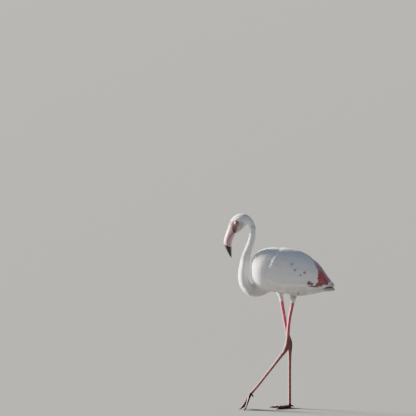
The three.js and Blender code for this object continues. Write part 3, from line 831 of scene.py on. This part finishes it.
for side in SIDES:
    nodes = [f"claw_{toe}_{side}" for toe in ("inner", "middle", "outer")]
    claws = cast_of(f"claws_{side}", nodes)
    apply_modifier(claws, "SUBSURF", levels=3, render_levels=3)
    points = points_of(claws)
    points[:, 2] = np.maximum(points[:, 2] - 0.2 * MM, 0)
    set_points(claws, points)
    paint = Paint("claw_horn", 0.33, Coat_Weight=0.2)
    grain = paint.noise(500)
    paint.colour(paint.mix(paint.ramp(grain, 0.35, 0.7), CLAW_DARK, CLAW_BROWN))
    paint.bump(grain, 0.15 * MM, 0.3)
    dress(claws, paint.material)
    alone(claws)
    bpy.ops.object.shade_smooth()
    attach(claws, "root")
    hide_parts(*nodes)


# The plumage of the head: short dense plush over crown, cheeks and nape, smallest at the bare face
# and swept back from the bill. Each feather is a thin closed vane with a ridge down its middle,
# rooted in the skin and lying over the roots of the next.
FEATHER_WHITE = (0.87, 0.855, 0.83, 1)
FEATHER_BLUSH = (0.87, 0.765, 0.755, 1)
FEATHER_SHADE = (0.62, 0.60, 0.63, 1)
FEATHER_DIRT_AND_SHADE = (0.46, 0.39, 0.32, 1)
SPOT_ROSE = (0.42, 0.16, 0.20, 1)
SPOT_GREY = (0.44, 0.42, 0.48, 1)
SPOT_DARK = (0.090, 0.004, 0.012, 1)
CHEEK_GREY_AND_SHADE = (0.36, 0.35, 0.34, 1)
SPOTS = [
    # place along the bird, height, radius, colour: odd marks on the wing, grey feathering with painted shade
    # on the cheek
    (0.039, 0.620, 0.0075, SPOT_ROSE), (0.080, 0.608, 0.0080, SPOT_ROSE),
    (0.061, 0.599, 0.0065, SPOT_ROSE), (0.026, 0.645, 0.0090, SPOT_GREY),
    (0.099, 0.561, 0.0155, SPOT_DARK), (0.113, 0.557, 0.0100, SPOT_DARK),
    (-0.196, 0.787, 0.0240, CHEEK_GREY_AND_SHADE), (-0.193, 0.806, 0.0200, CHEEK_GREY_AND_SHADE),
    (-0.205, 0.776, 0.0180, CHEEK_GREY_AND_SHADE),
]
PATCH = 0.003                 # a feather's own size on its ground's unwrap
ROOT_DEPTH = 0.5 * MM
RISE = 5.0                    # how soon a feather comes up through the coat
LAYERS = 0.035                # how far its tip lies over its root's neighbours, as a share of its length
FREE = 7 * MM                 # a feather this far off the skin goes straight on
TURNED = 0.5                  # and so it does where the skin turns away under it
LOOK_FROM = 20 * MM           # how far outside the skin to look for the solid that covers it
PAST = 0.02 * MM              # and how far past a surface seen from behind to look on
REARWARD = (1.0, 0.0, 0.0)
CROWD = 5.0                   # places tried for each feather's own square of skin
OVERHANG = 8 * MM             # how far a feather may stand out past where it has to end
CLOSE = 22 * MM               # skin that faces other skin nearer than this has shorter feathers
WALK = 8                      # steps in which a feather's reach is tried
STUB = 0.35                   # the share of its length below which a cut feather is left out
LENGTHS, WIDTHS, DEPTHS = (0.86, 1.14), (0.88, 1.12), (0.98, 1.02)     # how feathers vary
UNEVEN = 0.12                 # and each side of a vane along its length
BARBS, BARB_SLANT = 30.0, -20.0
SOILED_AND_SHADED_LOW = (0.575, 0.498)   # heights, and places along the bird, between which white gets dirty; low down this is also painted shade
SOILED_BACK = (0.165, 0.205)
dice = np.random.default_rng(7)


def unit(vectors):
    return vectors / np.maximum(norm(vectors, axis=-1, keepdims=True), 1e-12)


def along_skin(ways, normals):
    """The part of each direction that lies along the surface."""
    return unit(ways - normals * (ways * normals).sum(1, keepdims=True))


class Ground:
    """A surface that feathers are rooted in: its shape, normals and unwrap."""

    def __init__(self, obj):
        mesh = obj.data
        mesh.calc_loop_triangles()
        self.tree = BVHTree.FromObject(obj, bpy.context.evaluated_depsgraph_get())
        self.points = points_of(obj)
        self.triangles = read(mesh.loop_triangles, "vertices", 3, np.int32)
        corners = read(mesh.loops, "vertex_index", 1, np.int32)[:, 0]
        counts = read(mesh.polygons, "loop_total", 1, np.int32)[:, 0]
        faces = np.repeat(np.arange(len(counts)), counts)

        def mean(values):
            return np.stack([np.bincount(faces, weights=v) / counts for v in values.T], axis=1)

        self.places = mean(read(mesh.uv_layers["OFBake"].data, "uv", 2, np.float32))
        self.normals = unit(mean(normals_of(obj)[corners]))
        self.first_vertex = corners[np.cumsum(counts) - counts]

    def sow(self, chosen, spacing):
        """Roots strewn about evenly where chosen: their places and a vertex near each."""
        triangles = self.triangles[chosen[self.triangles].all(1)]
        corners = self.points[triangles]
        sides = corners[:, 1:] - corners[:, :1]
        area = norm(np.cross(sides[:, 0], sides[:, 1]), axis=1) / 2
        gaps = np.broadcast_to(spacing, len(self.points))[triangles].mean(1)
        which = np.repeat(np.arange(len(triangles)), dice.poisson(CROWD * area / gaps**2))
        share = dice.dirichlet((1, 1, 1), len(which))
        places = (corners[which] * share[:, :, None]).sum(1)
        gaps = gaps[which]
        tree = kdtree.KDTree(len(places))
        for number, place in enumerate(places.tolist()):
            tree.insert(place, number)
        tree.balance()
        free = np.ones(len(places), bool)
        kept = []
        for number, place in enumerate(places.tolist()):
            if free[number]:
                kept.append(number)
                free[[near for _, near, _ in tree.find_range(place, gaps[number])]] = False
        return places[kept], triangles[which[kept], 0]

    def meet(self, places):
        """The nearest point of the ground to each place, its face, and how far off it is."""
        hits = [self.tree.find_nearest(place) for place in places.tolist()]
        return [np.array([hit[part] for hit in hits]) for part in (0, 2, 3)]

    def reach(self, roots, length, flow, allowed):
        """How long each feather may be before its tip leaves the faces allowed, or the body's end."""
        place, inside, limit = roots, np.ones(len(roots), bool), np.zeros(len(roots))
        for step in range(WALK):
            touch, faces, _ = self.meet(place)
            normals = self.normals[faces]
            inside &= allowed[faces]
            if step:
                inside &= (normals * before).sum(1) < TURNED
                limit = np.where(inside, (step + 0.5) / WALK * length, limit)
            laid = along_skin(flow(touch, normals), normals)
            before, way = way if step else laid, laid
            place = touch + way * (length / WALK)[:, None]
        return np.where(inside, length, np.minimum(limit + OVERHANG, length))

    def lay(self, roots, length, depth, spots, flow, yaw, sag):
        """The feathers' middle lines over the ground, with normals, rightward ways and root faces."""
        place, done, lines, ups, rights = roots, 0.0, [], [], []
        for spot in (0.0, *spots, 1.0):
            if lines:
                place = place + way * ((spot - done) * length)[:, None]
                done = spot
            touch, faces, gap = self.meet(place)
            near = (gap < FREE)[:, None]
            if lines:
                near &= (self.normals[faces] * way).sum(1, keepdims=True) < TURNED
                near &= (self.normals[faces] * normal).sum(1, keepdims=True) > 0
            else:
                root_faces = faces
                near[:] = True
                way, normal, room = np.zeros_like(roots), np.zeros_like(roots), np.zeros((len(roots), 1))
            place = np.where(near, touch, place)
            normal = np.where(near, self.normals[faces], normal)
            room = np.where(near, self.room[faces][:, None], room)
            laid = along_skin(flow(place, normal), normal)
            laid = laid * np.cos(yaw)[:, None] + np.cross(normal, laid) * np.sin(yaw)[:, None]
            way = unit(np.where(near, laid, way - np.array((0, 0, sag))))
            normal = along_skin(normal, way)
            rising = 1 - (1 - spot) ** RISE
            height = depth[:, None] * room * rising - ROOT_DEPTH * (1 - rising)
            height -= LAYERS * length[:, None] * (rising - spot)
            lines.append(place + normal * height)
            ups.append(normal)
            rights.append(np.cross(way, normal))
        return np.stack(lines, 1), np.stack(ups, 1), np.stack(rights, 1), root_faces


def vanes(name, shape, lines, ups, rights, half, places):
    """One mesh of closed vanes along their middle lines, each on its own patch of the unwrap."""
    spots, widths = shape["spots"], np.array(shape["widths"])
    rings, count = len(spots), len(lines)
    width = half[:, None] * widths[None, :]
    left, right = ((width * (1 + UNEVEN * dice.standard_normal(width.shape)))[..., None] for _ in range(2))
    middle, up, side = lines[:, 1:-1], ups[:, 1:-1], rights[:, 1:-1]
    curl, thick = shape["curl"], shape["thick"] * MM
    ring_points = np.stack([
        middle - side * left - up * curl * left**2, middle + up * thick,
        middle + side * right - up * curl * right**2,
    ], axis=2).reshape(count, rings * 3, 3)
    points = np.concatenate([lines[:, :1], ring_points, lines[:, -1:]], axis=1)
    per, tip = rings * 3 + 2, rings * 3 + 1
    corners = []
    for a, b in ((1, 2), (2, 3), (3, 1)):
        corners.append((b, a, 0))
        for first in range(0, 3 * (rings - 1), 3):
            corners.append((a + first, b + first, b + first + 3, a + first + 3))
        corners.append((a + 3 * (rings - 1), b + 3 * (rings - 1), tip))
    loops = np.array([i for face in corners for i in face])
    sizes = np.tile([len(face) for face in corners], count)
    mesh = bpy.data.meshes.new(name)
    mesh.vertices.add(count * per)
    mesh.vertices.foreach_set("co", points.astype(np.float32).ravel())
    mesh.loops.add(len(loops) * count)
    every = (loops[None, :] + (np.arange(count) * per)[:, None]).ravel()
    mesh.loops.foreach_set("vertex_index", every.astype(np.int32))
    mesh.polygons.add(len(sizes))
    mesh.polygons.foreach_set("loop_start", (np.cumsum(sizes) - sizes).astype(np.int32))
    mesh.polygons.foreach_set("use_smooth", np.ones(len(sizes), bool))
    mesh.update(calc_edges=True)
    mesh.validate()
    across = np.array([0.5] + [0, 0.5, 1] * rings + [0.5])
    along = np.array([0.0] + [spot for spot in spots for _ in range(3)] + [1.0])
    vane = np.stack([across, along], axis=1)[loops]
    baked = places[:, None, :] + (vane[None] - 0.5) * PATCH
    for layer, spread_out in (("OFBake", baked), ("vane", np.tile(vane, (count, 1, 1)))):
        mesh.uv_layers.new(name=layer).data.foreach_set("uv", spread_out.astype(np.float32).ravel())
    obj = bpy.data.objects.new(name, mesh)
    bpy.context.scene.collection.objects.link(obj)
    edge_ends = edges_of(obj) % per
    ridge = ((edge_ends % 3 == 2) | (edge_ends == 0) | (edge_ends == tip)).all(1)
    ring_edge = (edge_ends[:, 0] - 1) // 3 == (edge_ends[:, 1] - 1) // 3
    mesh.attributes.new("sharp_edge", "BOOLEAN", "EDGE").data.foreach_set("value", ~(ridge | ring_edge))
    store(obj, "tone", np.repeat(dice.random(count), per))
    return obj


def coat(name, sown, shape, length, half, flow, material, within=None, depth=1.0, yaw=0.08, sag=0.0,
         ground=None):
    """Grows one piece of plumage from its roots; within keeps the tips over these solids."""
    ground = ground or body
    count = len(sown)
    space = ground.space[ground.meet(sown)[1]]
    length = length * dice.uniform(*LENGTHS, count) * space
    half = half * dice.uniform(*WIDTHS, count)
    depth = depth * dice.uniform(*DEPTHS, count)
    if within:
        reach = ground.reach(sown, length, flow, np.isin(ground.names, within))
        kept = reach > STUB * length
        half = (half * (0.4 + 0.6 * reach / length))[kept]
        sown, length, depth = sown[kept], reach[kept], depth[kept]
    yaw = dice.normal(0, yaw, len(sown))
    lines, ups, rights, faces = ground.lay(sown, length, depth, shape["spots"], flow, yaw, sag)
    piece = vanes(name, shape, lines, ups, rights, half, ground.places[faces])
    dress(piece, material)
    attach(piece, "root")
    return piece


def white_tone(paint):
    """White plumage by its place on the bird: flushed with pink, soiled below and behind with painted shade
    below, marked, and greyed on the cheek partly by painted shade.
    """
    white = paint.mix(paint.ramp(paint.noise(16), 0.45, 0.72, 0, 0.5), FEATHER_WHITE, FEATHER_BLUSH)
    # Darker and browner below and towards the tail: soiled plumage, and under the belly also painted shade.
    low = paint.ramp(paint.at("Z"), *SOILED_AND_SHADED_LOW)
    behind = paint.ramp(paint.at("X"), *SOILED_BACK)
    patchiness = paint.ramp(paint.noise(38), 0.35, 0.65, 0.45, 0.95)
    white = paint.mix(paint.sum("MULTIPLY", paint.sum("MAXIMUM", low, behind), patchiness), white, FEATHER_DIRT_AND_SHADE)
    side_view = paint.node("CombineXYZ", {0: paint.at("X"), 2: paint.at("Z")}).outputs[0]
    ragged = paint.ramp(paint.noise(220), 0.3, 0.7, 0.6, 1.5)
    # The marks, among them the cheek's grey, which is partly painted shade.
    for x, z, radius, colour in SPOTS:
        gap = paint.node("VectorMath", {0: side_view, 1: (x, 0, z)}, operation="DISTANCE").outputs["Value"]
        near = paint.ramp(paint.sum("MULTIPLY", gap, ragged), radius, 0.4 * radius, 0, 0.92)
        white = paint.mix(near, white, colour)
    return white


def vane_paint(name, tone, shaft_colour, roughness=0.62):
    """Feather vanes of this colour: painted shade towards the root, a pale or dark shaft, fine barbs, soft
    sheen.
    """
    paint = Paint(name, roughness, Sheen_Weight=0.25, Sheen_Roughness=0.5)
    vane = paint.node("UVMap", uv_map="vane").outputs["UV"]
    split = paint.node("SeparateXYZ", {0: vane})
    base = tone(paint)
    # Greyer towards the vane's root: painted shade where the feathers above overlap it.
    base = paint.mix(paint.ramp(split.outputs["Y"], 0.5, 0.0, 0, 0.3), base, FEATHER_SHADE)
    base = paint.mix(paint.ramp(paint.number("tone"), 0, 1, 0, 0.12), base, FEATHER_SHADE)
    off_shaft = paint.sum("ABSOLUTE", paint.sum("SUBTRACT", split.outputs["X"], 0.5))
    paint.colour(paint.mix(paint.ramp(off_shaft, 0.05, 0.01, 0, 0.35), base, shaft_colour))
    lengthwise = paint.sum("MULTIPLY", split.outputs["Y"], BARBS)
    slant = paint.sum("ADD", lengthwise, paint.sum("MULTIPLY", off_shaft, BARB_SLANT))
    paint.bump(paint.sum("SINE", paint.sum("MULTIPLY", slant, math.tau)), 0.05 * MM, 0.3)
    return paint.material


# Which solid of the bird lies over each point of the skin, looking in from outside.
cover_points, cover_faces, cover_names = [], [], []
for name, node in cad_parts.items():
    if name.startswith(("eye", "bill", "claw")):
        continue
    start = len(cover_points)
    cover_points.extend(v.co.copy() for v in node.data.vertices)
    cover_faces.extend([start + i for i in polygon.vertices] for polygon in node.data.polygons)
    cover_names.extend([name] * len(node.data.polygons))
cover_tree = BVHTree.FromPolygons(cover_points, cover_faces)


def cover_of(point, normal):
    """The solid over a point of the skin, and how thick the coat is between them."""
    place, way, left = Vector(point + normal * LOOK_FROM), Vector(-normal), LOOK_FROM
    while left > 0:
        touch, outwards, face, gap = cover_tree.ray_cast(place, way, left)
        if face is None:
            break
        left -= gap
        if outwards.dot(way) < 0:
            return cover_names[face], left
        place = touch + way * PAST
        left -= PAST
    return "", 0.0


body = Ground(skin)
covers = [cover_of(p, n) for p, n in zip(body.points, normals_of(skin))]
over = np.array([cover[0] for cover in covers])
room = np.clip(spread([cover[1] for cover in covers], edges_of(skin), 24), HEAD_COAT / 2, 1.3 * BODY_COAT)
body.names, body.room = over[body.first_vertex], room[body.first_vertex]
facing = []                   # how far it is from each point to skin that faces it, as behind the neck
for point, normal in zip(body.points, normals_of(skin)):
    hit = body.tree.ray_cast(Vector(point + normal * ROOT_DEPTH), Vector(normal), CLOSE)
    facing.append(hit[3] if hit[3] is not None else CLOSE)
body.space = np.clip(spread(facing, edges_of(skin), 4) / CLOSE, 0.5, 1)[body.first_vertex]
WING = [f"wing_{side}" for side in SIDES]
COVERTS = [f"wing_coverts_{side}" for side in SIDES]
PLUMES = [f"wing_plumes_{side}" for side in SIDES]

bill_root = np.array((head_low.x + 6 * MM, midplane, (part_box("bill_upper")[1].z + head_low.z) / 2))
nape_end = neck_line[2, :3]
neck_ways = unit(np.gradient(neck_line[:, :3], axis=0))
neck_ways[-4:] = REARWARD


def neck_flow(points, normals):
    """Down along the neck's own line."""
    gaps = all_gaps(points, neck_line[:, :3])
    weight = np.exp(-((gaps - gaps.min(1, keepdims=True)) / (6 * MM)) ** 2)
    return along_skin(weight @ neck_ways, normals)


def steady(*way):
    """A flow that keeps to one way all over."""
    return lambda points, normals: along_skin(np.tile(way, (len(points), 1)), normals)


def sided(points, x, across, z, middle=0.0):
    """One place or way for every point, turned outward to its own side of the bird."""
    out = np.sign(points[:, 1] - midplane)
    return np.stack([np.full(len(points), x), middle + across * out, np.full(len(points), z)], axis=1)


def plush_flow(points, normals):
    """Back from the bill over the head, turning down the neck at the nape."""
    away = unit(points - bill_root) + 0.9 * unit(nape_end - points)
    share = smoothstep(nape_end[2] - 5 * MM, nape_end[2] + 22 * MM, points[:, 2])
    forward = (points[:, 0] < head_high.x - 18 * MM) & (points[:, 2] > nape_end[2])
    share = np.where(forward, 1, share)[:, None]
    return share * along_skin(away, normals) + (1 - share) * neck_flow(points, normals)


PLUSH = dict(spots=(0.3, 0.75), widths=(0.85, 1.0), curl=30, thick=0.1)
face_share = bare_face(body.points) * (body.points[:, 2] > head_low.z - 10 * MM)
face_share *= body.points[:, 0] < head_high.x - 30 * MM
on_head = (over == "head") & (face_share < 0.4)
near_face = smoothstep(40 * MM, 4 * MM, norm(body.points - bill_root, axis=1))
roots, spots = body.sow(on_head, (1.05 - 0.25 * near_face) * MM)
small = near_face[spots]
plumage_white = vane_paint("white_plumage", white_tone, FEATHER_WHITE)
coat("head_feathers", roots, PLUSH, (8 - 3.8 * small) * MM, (1.0 - 0.35 * small) * MM, plush_flow,
     plumage_white, depth=1 - 0.3 * small, yaw=0.1)


# The plumage of the neck: the same white plush, lying down the neck and growing longer and broader
# towards the breast, in two pieces that meet halfway.
NECK_VANE = dict(spots=(0.22, 0.55, 0.85), widths=(0.7, 1.0, 0.75), curl=24, thick=0.12)
neck_places = neck_line[::2, :3]
down_neck = all_gaps(body.points, neck_places).argmin(1) / (len(neck_places) - 1)
on_neck = np.char.startswith(over, "neck")
for name, low, high in (("neck_feathers_upper", -1, 0.5), ("neck_feathers_lower", 0.5, 2)):
    chosen = on_neck & (down_neck > low) & (down_neck <= high)
    roots, spots = body.sow(chosen, (1.35 + 1.45 * down_neck**1.5) * MM)
    far = down_neck[spots] ** 1.5
    coat(name, roots, NECK_VANE, (9 + 15 * far) * MM, (1.35 + 2.2 * far) * MM,
         plush_flow if low < 0 else neck_flow, plumage_white, yaw=0.09)


# The plumage of the trunk: rounded overlapping contour feathers from breast to rump, tucked under
# the wing's edge, longest and loosest on the flanks.
NECK_LEAD = 10 * MM           # how far up the neck their roots begin
CONTOUR = dict(
    spots=(0.12, 0.4, 0.7, 0.88, 0.97), widths=(0.55, 0.95, 1.0, 0.82, 0.45), curl=14, thick=0.18
)
BACK_FROM = 0.62              # the height that parts the back's feathers from the breast's
neck_root = neck_line[-1, :3]
tail_low, tail_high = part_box("tail")
tail_end = np.array((tail_high.x, midplane, (tail_low.z + tail_high.z) / 2))


def gap_to(chosen, wanted=None):
    """How far each wanted point of the skin is from the nearest of the chosen ones."""
    tree = kdtree.KDTree(int(chosen.sum()))
    for index in np.flatnonzero(chosen):
        tree.insert(body.points[index], int(index))
    tree.balance()
    wanted = np.ones(len(body.points), bool) if wanted is None else wanted
    gaps = np.full(len(body.points), 1.0)
    gaps[wanted] = [tree.find(point)[2] for point in body.points[wanted].tolist()]
    return gaps


def near_to(chosen, distance):
    """The skin's points that lie within this distance of the chosen ones."""
    return gap_to(chosen) < distance


def body_flow(points, normals):
    """From the neck's root round the breast and back, closing in on the tail."""
    return along_skin(unit(points - neck_root) + unit(tail_end - points), normals)


on_trunk = over == "trunk"
on_trunk |= on_neck & near_to(on_trunk, NECK_LEAD)
upper = body.points[:, 2] > BACK_FROM
off_wing = [name for name in np.unique(over) if not name.startswith("wing")]
for name, chosen in (("breast_feathers", on_trunk & ~upper), ("back_feathers", on_trunk & upper)):
    roots, spots = body.sow(chosen, 3.1 * MM)
    coat(name, roots, CONTOUR, 25 * MM, 3.6 * MM, body_flow, plumage_white, within=off_wing)


# The white coverts of the folded wing: small scales at its front edge, growing to long ones that
# end in a clean curve over the red.
WING_LEAD = 9 * MM            # how far before the wing's edge its first feathers are rooted
WING_RIDGE = 3.5 * MM
WING_GROOVE = 3 * MM
EDGE_WIDTH = 11 * MM
EDGE_FROM = (0.60, 0.64)      # the heights between which the wing's front edge comes to stand out
WRIST_HEIGHT, TIP_HEIGHT = 0.60, 0.54
wing_front, wing_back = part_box("wing_left")[0].x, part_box("wing_left")[1].x


def wing_flow(points, normals):
    """From the wrist, at the wing's front, back to its tip over the rump."""
    wrist = sided(points, wing_front - 0.01, 0.06, WRIST_HEIGHT, midplane)
    end = sided(points, wing_back + 0.09, 0.02, TIP_HEIGHT, midplane)
    return along_skin(unit(points - wrist) + unit(end - points), normals)


x, y, z = body.points.T
rearward = smoothstep(wing_front, wing_back, x)
on_wing = np.isin(over, WING)
at_edge = smoothstep(*EDGE_FROM, z) * smoothstep(wing_front + 0.12, wing_front + 0.08, x)
at_edge *= smoothstep(25 * MM, 45 * MM, np.abs(y - midplane))
by_wing = ~on_wing & on_trunk
rise = WING_RIDGE * np.exp(-(gap_to(by_wing, on_wing) / EDGE_WIDTH) ** 2)
rise -= WING_GROOVE * np.exp(-(gap_to(on_wing, by_wing) / EDGE_WIDTH) ** 2)
body.room += (rise * at_edge)[body.first_vertex]
for side in SIDES:
    on_side = over == f"wing_{side}"
    before = on_trunk & near_to(on_side, WING_LEAD) & (x < wing_front + 0.08)
    roots, spots = body.sow(on_side | before, (2.9 + 2.4 * rearward) * MM)
    back = rearward[spots]
    coat(f"covert_feathers_{side}", roots, CONTOUR, (20 + 24 * back) * MM, (3.2 + 3.0 * back) * MM,
         wing_flow, plumage_white, within=[*WING, "trunk"])


# The red coverts behind them: broad soft vanes rooted under the ends of the white ones, deep
# crimson at the bottom, fading to rose and white towards the back.
UNDER_WHITE = 30 * MM         # how far forward their roots go beneath the white ones
CRIMSON = (0.42, 0.040, 0.055, 1)
CRIMSON_DARK = (0.22, 0.012, 0.025, 1)
ROSE = (0.58, 0.28, 0.29, 1)
BACK_ROSE_AND_SHADE = (0.44, 0.30, 0.33, 1)
BACK_HALF = 17 * MM           # half the width of the rose with painted shade along the back
WHITENS, REDDENS, DARKENS = (0.640, 0.655), (0.635, 0.585), (0.568, 0.552)     # heights


def crimson_tone(paint):
    """Deep crimson below, rose and white above, and rose with painted shade along the middle of the back."""
    uneven = paint.sum("ADD", paint.at("Z"), paint.ramp(paint.noise(60), 0.3, 0.7, -0.012, 0.012))
    red = paint.mix(paint.ramp(uneven, *WHITENS), ROSE, FEATHER_WHITE)
    red = paint.mix(paint.ramp(uneven, *REDDENS), red, CRIMSON)
    red = paint.mix(paint.ramp(uneven, *DARKENS, 0, 0.8), red, CRIMSON_DARK)
    across = paint.sum("SUBTRACT", paint.at("Y"), midplane)
    squared = paint.sum("MULTIPLY", across, across)
    return paint.mix(paint.ramp(squared, (1.5 * BACK_HALF) ** 2, BACK_HALF**2, 0, 0.8), red, BACK_ROSE_AND_SHADE)


plumage_crimson = vane_paint("crimson_plumage", crimson_tone, CRIMSON_DARK)
on_red = np.isin(over, COVERTS)
on_red |= np.isin(over, WING) & near_to(on_red, UNDER_WHITE)
for side, out in SIDES.items():
    roots, spots = body.sow(on_red & ((y - midplane) * out > 0), 3.6 * MM)
    coat(f"crimson_feathers_{side}", roots, CONTOUR, 34 * MM, 4.4 * MM, wing_flow, plumage_crimson,
         within=WING + COVERTS, depth=0.72)


# The long plumes that droop over the folded wing's end and the rump: narrow, pointed and loose,
# red where they lie by the coverts, with tips that hang free.
PLUME = dict(
    spots=(0.06, 0.2, 0.4, 0.6, 0.8, 0.94), widths=(0.5, 0.9, 1.0, 0.95, 0.7, 0.35), curl=20, thick=0.22
)
RED_LOW, RED_HIGH = (0.557, 0.567), (0.650, 0.634)      # heights at which the plumes' red ends


def plume_flow(points, normals):
    """Back, down and in towards the rump."""
    return along_skin(sided(points, 1.0, -0.25, -0.75), normals)


def plume_tone(paint):
    """Red like the coverts beside them, and white, as it is elsewhere, above and below."""
    uneven = paint.sum("ADD", paint.at("Z"), paint.ramp(paint.noise(70), 0.3, 0.7, -0.006, 0.006))
    red = paint.sum("MULTIPLY", paint.ramp(uneven, *RED_LOW), paint.ramp(uneven, *RED_HIGH))
    return paint.mix(paint.sum("MULTIPLY", red, 0.9), white_tone(paint), crimson_tone(paint))


plumage_plume = vane_paint("plume_plumage", plume_tone, FEATHER_SHADE)
for side in SIDES:
    roots, spots = body.sow(over == f"wing_plumes_{side}", 3.1 * MM)
    coat(f"plume_feathers_{side}", roots, PLUME, 50 * MM, 3.2 * MM, plume_flow, plumage_plume,
         within=[*PLUMES, *PRIMARIES, "trunk", "tail"], yaw=0.07, sag=0.5)


# The flight feathers' folded edges: long stiff black vanes laid close together, of which a dark
# stripe shows below the coverts.
PRIMARY_BLACK = (0.020, 0.014, 0.017, 1)
PRIMARY_BROWN = (0.16, 0.020, 0.030, 1)
STRIPE_END = 0.150            # how far back along the bird the stripe runs


def black_tone(paint):
    """Brown-black with a reddish cast here and there."""
    return paint.mix(paint.ramp(paint.noise(90), 0.4, 0.7), PRIMARY_BLACK, PRIMARY_BROWN)


plumage_black = vane_paint("black_plumage", black_tone, PRIMARY_BROWN, roughness=0.45)
stripe_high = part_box("primaries_left")[1].z
stripe = (z > stripe_high - 6 * MM) & (z < stripe_high + 2 * MM)
stripe &= (x < STRIPE_END) & (np.abs(y - midplane) > 12 * MM)
for side in SIDES:
    roots, spots = body.sow((over == f"primaries_{side}") & stripe, 4 * MM)
    piece = coat(
        f"primary_feathers_{side}", roots, PLUME, 34 * MM, 2.6 * MM, steady(1.0, 0, -0.06), plumage_black,
        within=[f"primaries_{side}"], depth=0.7, yaw=0.02
    )
    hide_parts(f"primaries_{side}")


# The flank's feathers: white contour feathers that lie up over the lower edge of the folded wing
# and hide the rest of the flight feathers.
on_flank = np.isin(over, PRIMARIES) & ~stripe
roots, spots = body.sow(on_flank, 3.1 * MM)
coat("flank_feathers", roots, CONTOUR, 24 * MM, 3.2 * MM, plume_flow, plumage_white,
     within=off_wing, depth=0.9, yaw=0.1)


# The tail: a short flat fan of broad pale feathers, stained with tan at their ends, rooted on both
# faces of a slim solid core.
TAIL_VANE = dict(
    spots=(0.08, 0.3, 0.6, 0.85, 0.96), widths=(0.6, 0.9, 1.0, 0.95, 0.6), curl=8, thick=0.3
)
TAIL_COAT = 3.2 * MM
TAIL_FAN = 4.0                # how much its feathers turn out, for each metre from the middle
TAN = (0.68, 0.53, 0.42, 1)


def tail_flow(points, normals):
    """Straight back, fanning out from the middle."""
    way = np.tile((1.0, 0, -0.05), (len(points), 1))
    way[:, 1] = TAIL_FAN * (points[:, 1] - midplane)
    return along_skin(way, normals)


def tail_tone(paint):
    """White, stained with tan towards the feathers' ends."""
    streaks = paint.ramp(paint.noise(45, 3, (0.3, 1, 1)), 0.35, 0.65, -0.010, 0.010)
    back = paint.sum("ADD", paint.at("X"), streaks)
    stained = paint.ramp(back, tail_high.x - 0.060, tail_high.x - 0.020, 0.15, 0.85)
    return paint.mix(stained, FEATHER_WHITE, TAN)


core = cast_of("tail_core", ["tail"])
apply_modifier(core, "REMESH", mode="VOXEL", voxel_size=2 * MM)
apply_modifier(core, "DISPLACE", strength=-TAIL_COAT, mid_level=0.0)
apply_modifier(core, "SMOOTH", factor=0.5, iterations=4)
unwrap(core)
core_paint = Paint("tail_core", 0.7)
core_paint.colour(tail_tone(core_paint))
dress(core, core_paint.material)
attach(core, "root")
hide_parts("tail")
rump = Ground(core)
rump.names = np.full(len(rump.places), "tail")
rump.room = np.full(len(rump.places), TAIL_COAT)
rump.space = np.ones(len(rump.places))
plumage_tail = vane_paint("tail_plumage", tail_tone, FEATHER_DIRT_AND_SHADE)
flat_side = (np.abs(normals_of(core)[:, 2]) > 0.5) & (rump.points[:, 0] < tail_high.x - 22 * MM)
roots, spots = rump.sow(flat_side, 4.5 * MM)
length = np.minimum(30 * MM, tail_high.x - 4 * MM - roots[:, 0])
coat("tail_feathers", roots, TAIL_VANE, length, 4.6 * MM, tail_flow, plumage_tail,
     yaw=0.04, ground=rump)


# The feathers of the thighs: short, soft and white, lying down the leg and ending in an uneven
# edge over the bare shin.
on_thigh = np.char.startswith(over, "thigh")
on_thigh |= near_to(on_thigh, 5 * MM)
roots, spots = body.sow(on_thigh & (z > thigh_low + 9 * MM), 2.2 * MM)
coat("thigh_feathers", roots, NECK_VANE, 14 * MM, 1.8 * MM, steady(0.25, 0, -1.0),
     plumage_white, yaw=0.12)
